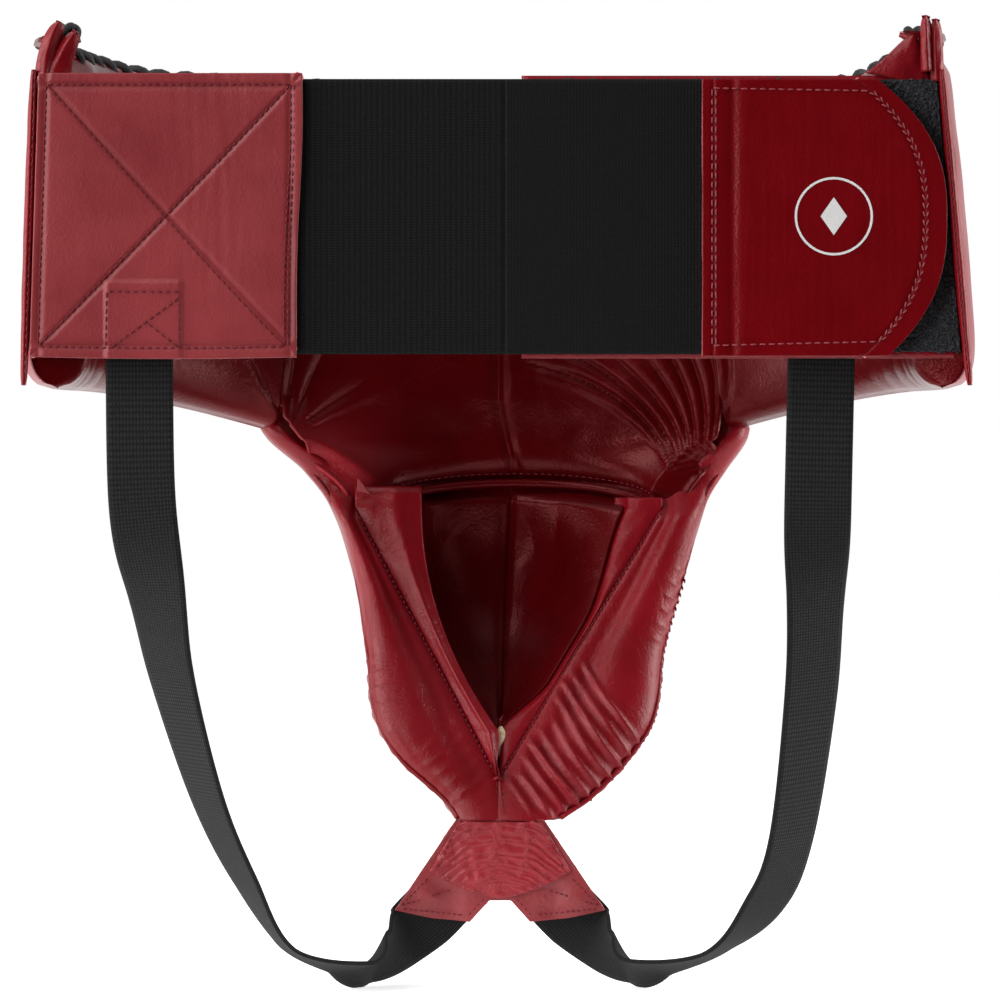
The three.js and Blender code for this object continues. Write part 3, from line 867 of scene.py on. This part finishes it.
def addRim(word, direction):
    left = word == "left"
    lipShare = rims[word]["lip"]

    def rim(u, w):
        # from the stitched V over the lip and a little way into the well
        z = mix(rims[word]["top"], -213.8, w)
        start = Vector((veeX(word, min(z, veeTop["z"])) - direction * 0.1, veeY(z) + 0.5, z))
        lip = Vector((mouthX(word, z), mouthY(word, z), z))
        inside = Vector((direction * (2.5 if left else -5), 10, 0))
        if z < mouthTip:
            # below the mouth the two lips meet
            lip.x = mix(0, veeTip["x"], smooth((mouthTip - z) / 17)) + direction * 0.35
            inside = Vector((0, 9, 0))
        inside = lip + inside
        crease = 0.35 * seamNoise(z * 0.11, u * 3, 1, 27)
        if u < lipShare:
            t = u / lipShare
            point = start.lerp(lip, t)
            hem = 1.6 * bump(z, -101.5, 2.5) if left else 0
            ridge = 1.3 * bump(t, 0.62, 0.16) if left else 0
            point.y -= (2.0 if left else 1.2) * math.sin(math.pi * t) ** 0.8 + hem * t + ridge + crease
            return point
        t = (u - lipShare) / (1 - lipShare)
        turn = t * math.pi / 2
        return Vector((mix(lip.x, inside.x, 1 - math.cos(turn)), mix(lip.y, inside.y, math.sin(turn)), z))

    bm = gridSheet(48, 150, rim, (24, 110), lambda p: Vector((0, -1, 0)))
    paddedPiece(f"rimLeather_{word}", bm, coverLeather, [f"rim_strip_{word}"],
                rims["leather"])


def addWell(word, direction):
    left = word == "left"

    def well(u, w):
        side = clamp((mix(-28 if left else 50, 4, u) - 7) / 75, -1)
        roof = archAt(side) - 1.5
        z = mix(roof, -211, w)
        lipX = mouthX(word, z) + direction * (2.5 if left else -1.5) if z >= mouthTip else direction * 1.0
        lipY = mouthY(word, z) + (7 if left else 4)
        floorX = mix(4.5, 0, clamp((-98 - z) / 100))
        floorY = mix(stationValue(z, 4) - wall["thick"] - 3.5, lipY + 3, smooth((-140 - z) / 66) ** 1.3)
        bend = u * math.pi / 2
        if left:
            x = mix(lipX, floorX, 1 - math.cos(bend) ** 0.8)
            y = mix(lipY, floorY, math.sin(bend) ** 0.8)
        else:
            x = mix(lipX, floorX, u ** 0.9)
            y = mix(lipY, floorY, math.sin(bend) ** 1.1)
        seam = 1.8 * bump(u, 1, 0.05) * smooth((z + 208) / 12)
        slack = 1.8 * seamNoise(x * 0.06, y * 0.03, z * 0.05, 17) * math.sin(math.pi * u)
        under = bodyPoint(side, wall["thick"] - 1, z).y
        y = mix(y + seam - abs(slack), max(under, y), smooth((z - roof + 8) / 8))
        return Vector((x + slack * 0.5, y, z))

    bm = gridSheet(60, 110, well, (50, 110), lambda p: Vector((0, -1, 0)))
    paddedPiece(f"wellLeather_{word}", bm, liningLeatherPaintedShade, [f"well_lining_{word}"],
                rims["leather"])


def addArch():
    points = []
    for k in range(60):
        side = mix(-0.9, 0.93, k / 59)
        points.append(bodyPoint(side, wall["thick"] + 2.0, archAt(side) - 1.2))
    curveTube("archRoll", points, 1.7, liningLeatherPaintedShade, "root", ["arch_piping"], 4)


def addBodyStitches():
    rows = []
    for word, direction in (("left", -1), ("right", 1)):
        line = []
        for k in range(60):
            z = mix(veeTop["z"] - 1, veeTip["z"], k / 59)
            line.append(Vector((veeX(word, z) + direction * 0.2, veeY(z) - 0.4, z)))
        rows.append(dict(route=line, length=1.9, gap=0.5, width=0.8, lift=0.3))
    tip = veeTip["z"]
    rows.append(dict(route=[Vector((0.2, veeY(tip) - 1.4, tip - 2)), Vector((1.4, veeY(-226) - 1.2, -227))],
                     length=1.9, gap=0.7, width=0.8, lift=0.2))
    arch = []
    for k in range(50):
        side = mix(-0.88, 0.9, k / 49)
        arch.append(bodyPoint(side, wall["thick"] + 1.1, archAt(side) + 2.6))
    rows.append(dict(route=arch, length=2.0, gap=0.8, width=0.6, lift=0.2))
    whip = [legPadPoint("right", 1, mix(0.44, 0.94, k / 39), 0.86) for k in range(40)]
    rows.append(dict(route=whip, normalAt=lambda p: Vector((0.7, -0.7, 0)), length=2.0, gap=1.0, width=0.9,
                     lift=0.7, slant=0.6))
    stitchPiece("bodyStitches", rows, redThread, "root")


def addCornerTurn():
    # the turned corner of the left rim leather, and the bit of padding that shows at the tip of the mouth
    def turned(u, w):
        x = mix(-56.5, mix(-51.5, -56, w), u)
        return Vector((x, veeY(-104) - 3.0 - 1.2 * w, mix(-101.5, -96.5, w) - 1.2 * u * (1 - w)))

    bm = gridSheet(8, 8, turned, (6, 6), toCamera)
    piece = finishObject("rimCorner", bm, patchLeather, "root")
    thicken(piece, 1.0)
    made = bmesh.new()
    bmesh.ops.create_uvsphere(made, u_segments=16, v_segments=10, radius=1.0)
    for v in made.verts:
        v.co = (Vector((0.4, veeY(-200) + 2.2, -200)) + Vector((v.co.x * 2.2, v.co.y * 1.5, v.co.z * 6.5))) * mm
    finishObject("tipPadding", made, foamMaterial, "root")


for word, direction in (("left", -1), ("right", 1)):
    addLegPad(word, direction)
    addRim(word, direction)
    addWell(word, direction)
addArch()
addBodyStitches()
addCornerTurn()
print("well made")


# the back closure: patch, elastic band, flap and loop panel
closure = {
    "face": low("belt_patch").y,
    "leather": 2.0,
    "elastic": 1.5,
    "patchLeft": low("belt_patch").x,
    "patchRight": high("belt_patch").x,
    "patchTop": high("belt_patch").z,
    "patchBottom": low("belt_patch").z,
    "bandTop": high("waist_elastic").z,
    "bandBottom": low("waist_elastic").z,
    "flapLeft": low("flap_cover").x,
    "flapRight": high("flap_cover").x,
    "flapSeam": 8.6,  # from the rounded end to its stitches
    "bandJoint": 2.0,
}
patchBox = {"left": -147, "right": -117, "top": -23}
flapMark = {"x": 123.5, "radius": 14.5, "hole": 0.94, "lozenge": 7, "lozengeWidth": 0.7}


def sheetFace(cols, rows, y, outline, relief=None):
    # an upright sheet between the lines that outline(u, w) gives in x and z
    def flat(u, w):
        x, z = outline(u, w)
        return Vector((x, y + (relief(x, z) if relief else 0.0), z))

    return gridSheet(cols, rows, flat, (100, 100), toCamera)


def uprightBox(left, right, bottom, top):
    return lambda u, w: (mix(left, right, u), mix(top, bottom, w))


def patchLeft(z):
    return -174.5 + leanAt(-1, z)


def patchOutline(u, w):
    c = closure
    z = mix(c["patchTop"], c["patchBottom"], w) - 0.8 * math.sin(u * 3.0) * w
    right = c["patchRight"] - 2.2 * smooth(w) + 0.4 * math.sin(w * 7)
    return mix(patchLeft(z), right, u), z


def patchRelief(x, z):
    # the leather puffs a little between the stitched lines
    u = (x - patchLeft(z)) / (closure["patchRight"] - patchLeft(z))
    w = (z - closure["patchBottom"]) / (closure["patchTop"] - closure["patchBottom"])
    lines = min(abs(u - w), abs(u + w - 1), abs(u - 0.03), abs(u - 0.955), abs(w - 0.04), abs(w - 0.955))
    dent = 0.6 * bump(lines, 0, 0.013)
    crease = 0.30 * abs(seamNoise(x * 0.22, 0, z * 0.02, 21)) * bump(u, 0.68, 0.16) * smooth((w - 0.12) / 0.3)
    box = patchBox
    raised = smooth((x - box["left"]) / 2) * smooth((box["right"] - x) / 2) * smooth((box["top"] - z) / 2)
    return dent + crease - 0.7 * seamNoise(x * 0.016, 0, z * 0.016, 22) - 0.9 * raised


def addPatch():
    c = closure
    bm = sheetFace(180, 180, c["face"] - 0.3, patchOutline, patchRelief)
    patch = finishObject("patchLeather", bm, patchLeather, "root", ["belt_patch"])
    thicken(patch, c["leather"])
    showEdge(patch, cutEdge)
    back = sheetFace(20, 20, low("belt_patch_backing").y,
                     uprightBox(patchLeft(0) + 2, c["patchRight"] - 3, c["patchBottom"], c["patchTop"]))
    backing = finishObject("patchBacking", back, coverLeather, "root", ["belt_patch_backing"])
    thicken(backing, c["leather"])
    y = c["face"] - 0.05
    rows = []

    def line(start, end, shift=0.0):
        # from one share of the patch to another, following its outline
        points = []
        for k in range(25):
            u, w = mix(start[0], end[0], k / 24), mix(start[1], end[1], k / 24)
            x, z = patchOutline(u, w)
            points.append(Vector((x + shift, y + patchRelief(x, z) - 0.45, z)))
        rows.append(dict(route=points, length=2.3, gap=0.55, lift=0.05))

    left, right, top, bottom = 0.03, 0.955, 0.04, 0.962
    # the four sides, then the cross
    for start, end in (((left, top), (right, top)), ((left, bottom), (right, bottom)),
                       ((right, top), (right, bottom)), ((left, top), (left, bottom)),
                       ((left, top), (right, bottom)), ((left, bottom), (right, top))):
        line(start, end)
    line((right, top), (right, bottom), 1.4)
    boxLeft, boxRight, boxTop = 0.285, 0.56, 0.765
    line((boxLeft, boxTop), (boxRight, boxTop))
    line((boxLeft, boxTop), (boxLeft, bottom))
    line((boxRight, boxTop), (boxRight, bottom))
    line((boxLeft + 0.02, bottom), (boxRight, boxTop + 0.02))
    line((0.44, 0.875), (boxRight, bottom))
    stitchPiece("patchStitches", rows, redThread, "root")


def bandRelief(x, z):
    edge = min(closure["bandTop"] - z, z - closure["bandBottom"])
    return -0.35 * seamNoise(x * 0.015, 0, z * 0.02, 31) + 0.4 * bump(edge, 0, 1.0)


def addBand():
    # the elastic is drawn in two lengths that meet in its middle, so that each bends at one fold only
    c = closure
    y = c["face"] + c["leather"] + 0.3
    left, right = low("elastic_fixed_end").x, high("elastic_flap_end").x
    for name, x0, x1, nodes, bodies, fold in (
            ("bandLeft", left, c["bandJoint"], ["elastic_fixed_end", "waist_elastic"], ("root", "belt"),
             c["patchRight"]),
            ("bandRight", c["bandJoint"], right, ["elastic_flap_end"], ("belt", "flap"), c["flapLeft"])):
        bm = sheetFace(90, 60, y, uprightBox(x0, x1, c["bandBottom"], c["bandTop"]), bandRelief)
        band = finishObject(name, bm, bandElastic, None, nodes)
        thicken(band, c["elastic"])
        applyModifiers(band)
        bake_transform(band)


def flapEdge(w):
    # where the free end is at a share of its height
    return closure["flapRight"] - (26 if w < 0.5 else 22) * abs(2 * w - 1) ** 2.6 - 0.5


def flapOutline(u, w):
    c = closure
    x = mix(c["flapLeft"] - 1.5, flapEdge(w), u)
    z = mix(c["bandTop"] - 0.2, c["bandBottom"] - 0.8, w)
    return x, z


def flapRelief(x, z):
    w = (closure["bandTop"] - z) / (closure["bandTop"] - closure["bandBottom"])
    groove = 0.8 * bump(x, closure["flapLeft"] + 9.5, 2.4)
    end = flapEdge(w) - x
    dent = 0.4 * bump(end, closure["flapSeam"], 0.8) + 0.35 * bump(x, closure["flapLeft"] + 2.5, 0.7)
    soft = 0.5 * seamNoise(x * 0.03, 0, z * 0.02, 41)
    crease = 0.12 * abs(seamNoise(x * 0.3, 0, z * 0.025, 42))
    return groove + dent - soft + crease


def addFlap():
    c = closure
    bm = sheetFace(160, 160, c["face"] - 0.2, flapOutline, flapRelief)
    flap = finishObject("flapLeather", bm, flapLeather, "flap", ["flap_cover"])
    thicken(flap, c["leather"])
    showEdge(flap, cutEdge)
    hook = sheetFace(60, 60, c["face"] + c["leather"] + 0.4, lambda u, w: (
        mix(c["flapLeft"] + 24, flapEdge(w) - 3, u), mix(c["bandTop"] - 4, c["bandBottom"] + 4, w)))
    hooks = finishObject("hookPad", hook, hookTape, "flap", ["hook_pad"])
    thicken(hooks, 1.3)
    back = sheetFace(10, 30, low("flap_backing").y,
                     uprightBox(c["flapLeft"], c["flapLeft"] + 22, c["bandBottom"] + 1, c["bandTop"] - 1))
    strip = finishObject("flapBacking", back, coverLeather, "flap", ["flap_backing"])
    thicken(strip, 1.2)
    y = c["face"] - 0.15
    top, bottom = c["bandTop"] - 3.6, c["bandBottom"] + 3.2
    left = c["flapLeft"] + 2.2
    curve = []
    for k in range(61):
        w = mix(0.045, 0.955, k / 60)
        curve.append(Vector((flapEdge(w) - c["flapSeam"], y, mix(c["bandTop"], c["bandBottom"], w))))
    rows = [dict(route=curve, length=2.3, gap=0.8, slant=0.35),
            dict(route=[p + Vector((1.3, 0, 0)) for p in curve], length=2.3, gap=0.8, width=0.7, slant=-0.35)]
    for route in ([Vector((left, y, top)), curve[0]],
                  [Vector((left, y, bottom)), curve[-1]],
                  [Vector((left, y, bottom)), Vector((left, y, top))],
                  [Vector((left + 1.4, y, bottom)), Vector((left + 1.4, y, top))]):
        rows.append(dict(route=route, gap=0.8))
    stitchPiece("flapStitches", rows, paleThread, "flap")


def addFlapMark():
    # a plain printed ring round a lozenge
    bm = bmesh.new()
    printed = closure["face"] - 0.75
    bmesh.ops.create_circle(bm, cap_ends=False, segments=48, radius=flapMark["radius"])
    ring = bmesh.ops.extrude_edge_only(bm, edges=bm.edges[:])
    inner = [g for g in ring["geom"] if isinstance(g, bmesh.types.BMVert)]
    bmesh.ops.scale(bm, vec=(flapMark["hole"], flapMark["hole"], 1), verts=inner)
    lozenge = bmesh.ops.create_circle(bm, cap_ends=True, segments=4, radius=flapMark["lozenge"])
    bmesh.ops.scale(bm, vec=(flapMark["lozengeWidth"], 1.0, 1), verts=lozenge["verts"])
    for v in bm.verts:
        x, z = v.co.x + flapMark["x"], v.co.y
        v.co = Vector((x, printed + flapRelief(x, z) + 0.45, z)) * mm
    bmesh.ops.recalc_face_normals(bm, faces=bm.faces)
    mark = finishObject("flapMark", bm, printInk, "flap", rough=True)
    thicken(mark, 0.12, 0.0)


def loopEnd(z):
    return 172 - leanAt(1, z)


def addLoopPanel():
    pileLow, pileHigh = low("loop_panel"), high("loop_panel")

    def pile(x, z):
        return -0.5 * seamNoise(x * 0.9, 0, z * 0.9, 51) - 0.4 * seamNoise(x * 2.1, 0, z * 2.1, 52)

    def pileOutline(u, w):
        # closer steps on the part that the flap leaves bare
        z = mix(pileHigh.z, pileLow.z + 1, w)
        return mix(pileLow.x, loopEnd(z), 1 - (1 - u) ** 1.6), z

    bm = sheetFace(260, 240, pileLow.y, pileOutline, pile)
    panel = finishObject("loopPile", bm, loopPile, "root", ["loop_panel"])
    thicken(panel, 1.4)
    backLow, backHigh = low("loop_backing"), high("loop_backing")

    def backOutline(u, w):
        z = mix(backHigh.z + 0.6, backLow.z - 0.3, w)
        return mix(backLow.x, loopEnd(z) + 1, u), z

    back = sheetFace(60, 40, backLow.y, backOutline)
    backing = finishObject("loopBacking", back, coverLeather, "root", ["loop_backing"])
    thicken(backing, closure["leather"])
    showEdge(backing, cutEdge)


addPatch()
addBand()
addFlap()
addFlapMark()
addLoopPanel()
print("closure made")


# bindings down the back edges, folds at the corners, top edge and lacing
bindings = {"halfWidth": 1.9, "halfDepth": 3.2, "reach": {-1: 176.6, 1: 174.2}}


def bindingMiddle(direction, z):
    return direction * (bindings["reach"][direction] - leanAt(direction, min(z, 54)))


def addBinding(word, direction):
    # leather folded round the back corner of the wing
    lowest, highest = low(f"edge_binding_{word}"), high(f"edge_binding_{word}")
    middleY = (lowest.y + highest.y) / 2

    def fold(u, w):
        turn = u * 2 * math.pi
        z = mix(highest.z + 1.5, lowest.z + 0.5, w)
        wide = bindings["halfWidth"] * (1 + 0.12 * seamNoise(0, 0, z * 0.09, 61 + direction))
        ends = math.sin(math.pi * clamp(w, 0.004, 0.996)) ** 0.18
        seam = 0.7 * bump(math.cos(turn) * direction, -0.25, 0.16) * (1 if math.sin(turn) < 0 else 0)
        return Vector((bindingMiddle(direction, z) + wide * ends * math.cos(turn),
                       middleY + seam + bindings["halfDepth"] * ends * math.sin(turn), z))

    outwards = lambda p: p - Vector((bindingMiddle(direction, p.z), middleY, p.z))
    bm = gridSheet(40, 110, fold, (20, 125), outwards)
    closeTube(bm)
    piece = finishObject(f"edgeBinding_{word}", bm, coverLeather, "root",
                         [f"edge_binding_{word}"])
    line = [Vector((bindingMiddle(direction, z) - direction * 0.7, middleY - bindings["halfDepth"] + 0.5, z))
            for z in (highest.z, 30, 0, -30, lowest.z + 4)]
    stitchPiece(f"bindingStitches_{word}", [dict(route=line, length=1.7, gap=1.5, width=0.8)],
                redThread, "root")


def addFold(name, base, tip, widths, y, curl, nodes=(), bow=0.0):
    # one folded strip of leather that stands up from the corner, from base to tip in x and z
    along = Vector((tip[0] - base[0], 0, tip[1] - base[1]))
    across = along.normalized().cross(Vector((0, 1, 0)))
    if across.x < 0:
        across = -across

    def strip(u, w):
        width = mix(widths[0], widths[1], w ** 0.8) * math.sqrt(clamp(1.04 - w ** 8, 0.05))
        sideways = (u - 0.5) * width + bow * math.sin(math.pi * w)
        spot = Vector((base[0], y, base[1])) + along * w + across * sideways
        spot.y -= curl * math.sin(math.pi * u) + 0.5 * seamNoise(u * 3, w * 3, y, 65)
        return spot

    bm = gridSheet(20, 30, strip, (10, 20), toCamera)
    piece = finishObject(name, bm, coverLeather, "root", nodes)
    thicken(piece, 2.0)
    showEdge(piece, patchLeather)


def addCornerFolds():
    addFold("cornerFoldLeft", (-169.5, 50), (-163.2, 72.5), (7, 6.4), -82.4, 2.4, ["corner_tab_left"], -1.4)
    addFold("cornerFoldInner", (-165.5, 50.5), (-157.2, 69), (12.5, 5.2), -81.6, 2.4, bow=-0.6)
    addFold("cornerFoldRight", (162.4, 50.5), (161.7, 73.6), (5.2, 4.6), -81.4, 2.0, ["corner_tab_right"])
    addFold("cornerRollRight", (158.4, 54), (158.0, 74.8), (4.8, 4.4), -82.2, 2.4)
    addFold("cornerGusset", (149.0, 50.6), (154.0, 68.5), (27, 3.4), -80.6, 1.4)


edgeRoll = {"reach": 96, "radius": 3.2, "turns": 34, "laceRadius": 4.3, "cord": 1.6}


def topEdgePoint(angle, turn, radius):
    # a point on the roll that the lace winds round
    top = topAt(angle)
    heart = wallPoint(angle, wall["thick"] * (0.5 - pinchAt(angle, top) * 0.5), top + 0.4)
    outwards = (wallPoint(angle, 0, top) - wallPoint(angle, 10, top)).normalized()
    return heart + outwards * math.cos(turn) * radius * 1.2 + Vector((0, 0, math.sin(turn) * radius))


def addTopEdge():
    # rolled edge between the outer leather and the lining, and the cord whipped over it
    reach = edgeRoll["reach"]

    def roll(u, w):
        angle = mix(-reach, reach, w)
        soft = 1 + 0.10 * seamNoise(w * 60, u * 3, 0, 67)
        return topEdgePoint(angle, u * 2 * math.pi, edgeRoll["radius"] * soft)

    bm = gridSheet(16, 420, roll, (17, 560), lambda p: Vector((p.x, p.y, 0)))
    closeTube(bm)
    felt = finishObject("topEdgeRoll", bm, edgeLeather, "root")
    turns, steps = edgeRoll["turns"], edgeRoll["turns"] * 14
    points = []
    for k in range(steps + 1):
        share = k / steps
        angle = mix(-reach, reach, share)
        wide = edgeRoll["laceRadius"] + 0.35 * seamNoise(share * 90, 0, 0, 68)
        points.append(topEdgePoint(angle, share * turns * 2 * math.pi, wide))
    curveTube("topLace", points, edgeRoll["cord"], laceCord, "root", ["top_lace"], 2)


def addKnot(word):
    # the lace is tied off in an overhand knot
    centre = (low(f"lace_knot_{word}") + high(f"lace_knot_{word}")) / 2
    points = []
    for k in range(97):
        t = k / 96 * 2 * math.pi
        ring = 2.7 + 1.15 * math.cos(3 * t)
        points.append(centre + Vector((ring * math.cos(2 * t), 0.8 * ring * math.sin(2 * t),
                                       2.6 * math.sin(3 * t))))
    curveTube(f"laceKnot_{word}", points, 1.3, laceCord, "root", [f"lace_knot_{word}"], 2, True)


addTopEdge()
addCornerFolds()
for word, direction in (("left", -1), ("right", 1)):
    addBinding(word, direction)
    addKnot(word)
print("edges made")


# leg straps: points from behind the band down to the tab, and the twist at each point in degrees
straps = {"width": 25, "thick": 1.5, "stepsPerSpan": 16}
strapRoutes = {
    "left": [(-134, -80, -42), (-133, -80, -105), (-128, -70, -142), (-123, -58, -173), (-110.5, -46, -218),
             (-97, -37, -249), (-81, -30, -275), (-57, -16, -284), (-46.5, 5, -281.5), (-37, 19.5, -275),
             (-28.5, 19.6, -267.5), (-21, 18.2, -259.5)],
    "right": [(120, -73, -42), (118.5, -74, -105), (118, -68, -142), (116.5, -60, -180), (110, -46, -233),
              (100, -37, -259), (82, -30, -277), (57, -16, -284), (46.5, 5, -281.5), (37, 19.5, -275),
              (28.5, 19.6, -267.5), (21, 18.2, -259.5)],
}
strapRolls = {
    "left": [0, 0, -32, -48, -60, -68, -80, -72, -52, -28, -8, 0],
    "right": [0, 0, 30, 38, 48, 54, 78, 70, 52, 28, 8, 0],
}


def addStrap(word):
    route = smoothRoute([Vector(p) for p in strapRoutes[word]], straps["stepsPerSpan"])
    rolls = smoothRoute([Vector((0, roll, 0)) for roll in strapRolls[word]], straps["stepsPerSpan"])
    count = len(route)
    frames = []
    for k in range(count):
        along = (route[min(k + 1, count - 1)] - route[max(k - 1, 0)]).normalized()
        widthway = along.cross(Vector((0, 1, 0))).normalized()
        faceway = widthway.cross(along).normalized()
        roll = math.radians(rolls[k].y)
        frames.append((route[k], widthway * math.cos(roll) + faceway * math.sin(roll),
                       faceway * math.cos(roll) - widthway * math.sin(roll)))

    def band(u, w):
        k = min(int(round(w * (count - 1))), count - 1)
        spot, widthway, faceway = frames[k]
        return spot + widthway * (u - 0.5) * straps["width"] - faceway * straps["thick"] / 2

    long = sum((b - a).length for a, b in zip(route, route[1:]))
    bm = gridSheet(12, count - 1, band, (straps["width"], long), toCamera)
    piece = finishObject(f"legStrap_{word}", bm, strapElastic, None, [f"leg_strap_{word}"])
    thicken(piece, straps["thick"])
    applyModifiers(piece)
    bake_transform(piece)
    print("strap", word, round(long), "mm")


crotchTab = {
    "topHalf": 17.1,
    # the bottom outline from the notch to the outer corner: share of the half width, x and z
    "foot": [(0, 4.2, -260.6), (0.12, 4.2, -260.6), (0.3, 11.7, -268.9), (0.6, 26, -267.6), (1, 40.9, -264.4)],
    "overlayTop": 16.2,
    "overlayFoot": 27.6,
}


def tabEdge(side):
    # the bottom outline of the tab: two pointed legs with a notch between them
    spots = crotchTab["foot"]
    row = 0
    while row < len(spots) - 2 and abs(side) > spots[row + 1][0]:
        row += 1
    a, b = spots[row], spots[row + 1]
    share = clamp((abs(side) - a[0]) / (b[0] - a[0]))
    x = mix(a[1], b[1], share) if row else mix(0, 4.2, share)
    return math.copysign(x, side), mix(a[2], b[2], share)


def crinkles(x, z, seed):
    # creases that run across, as the leather is pulled by both legs
    flow = z + 0.02 * x * x + 1.6 * seamNoise(math.hypot(x, 3) * 0.12, 0, z * 0.12, seed)
    fine = 0.5 * seamNoise(x * 0.3, 0, z * 0.4, seed + 2)
    return abs(seamNoise(math.hypot(x, 3) * 0.05, 0, flow * 0.55, seed + 1)) + fine


def addTab():
    node = "crotch_tab"
    top, face = high(node).z + 2.5, low(node).y

    def leatherTab(u, w):
        side = 2 * u - 1
        endX, endZ = tabEdge(side)
        x, z = mix(side * crotchTab["topHalf"], endX, w), mix(top, endZ, w)
        lift = -0.4 * seamNoise(x * 0.16, 0, z * 0.16, 71) - 0.2 * abs(seamNoise(x * 0.4, 0, z * 0.4, 72))
        lift -= 1.6 * bump(abs(x), 27, 6) * bump(z, -259, 6)
        fallen = 1.6 * smooth((abs(x) - 12) / 10) * smooth((-250 - z) / 8) * smooth((32 - abs(x)) / 10)
        return Vector((x, face + lift + fallen, z))

    bm = gridSheet(160, 70, leatherTab, (82, 36), toCamera)
    tab = finishObject("tabLeather", bm, patchLeather, "crotch_tab_body", ["crotch_tab"])
    thicken(tab, 1.8)
    showEdge(tab, cutEdge)

    def overlay(u, w):
        side = 2 * u - 1
        # widens with the tab, then closes in a rounded point over the notch
        foot = -249 - 10.6 * (1 - abs(side) ** 1.5) ** 0.9
        x, z = mix(side * crotchTab["overlayTop"], side * crotchTab["overlayFoot"], w), mix(top - 1, foot, w)
        lift = -1.1 * crinkles(x, z, 73)
        edge = (math.sin(math.pi * clamp(u, 0.001, 0.999)) * clamp((1 - w) * 12 + 0.1)) ** 0.3 * 1.1
        return Vector((x, face - 0.9 - edge + lift, z))

    bm = gridSheet(130, 90, overlay, (50, 30), toCamera)
    piece = finishObject("tabOverlay", bm, tabLeather, "crotch_tab_body", ["crotch_tab_overlay"])
    thicken(piece, 1.4)
    rows, pale = [], []
    for sign in (-1, 1):
        def spot(x, z):
            return Vector((sign * x, face - 0.5, z))

        for a, b in (((28, -252), (38.5, -262.6)), ((38.5, -262.6), (19, -256.6)),
                     ((38, -263.8), (14.5, -266.2))):
            rows.append(dict(route=[spot(*a), spot(*b)], length=1.5, gap=0.6, width=0.7))
        for a, b in (((6, -259.5), (12.5, -266.5)), ((16.5, top - 2), (24.6, -248))):
            rows.append(dict(route=[spot(*a), spot(*b)], length=1.6, gap=0.9, width=0.7, lift=1.6))
        overlaid = [spot(x, z) - Vector((0, raised, 0))
                    for x, z, raised in ((25, -249.6, 1.2), (12, -255.8, 1.4), (5, -258.6, 1.4))]
        pale.append(dict(route=overlaid, length=1.5, gap=0.8, width=0.7))
    stitchPiece("tabStitches", rows, redThread, "crotch_tab_body")
    stitchPiece("tabOverlayStitches", pale, paleThread, "crotch_tab_body")


addStrap("left")
addStrap("right")
addTab()
print("straps and tab made")
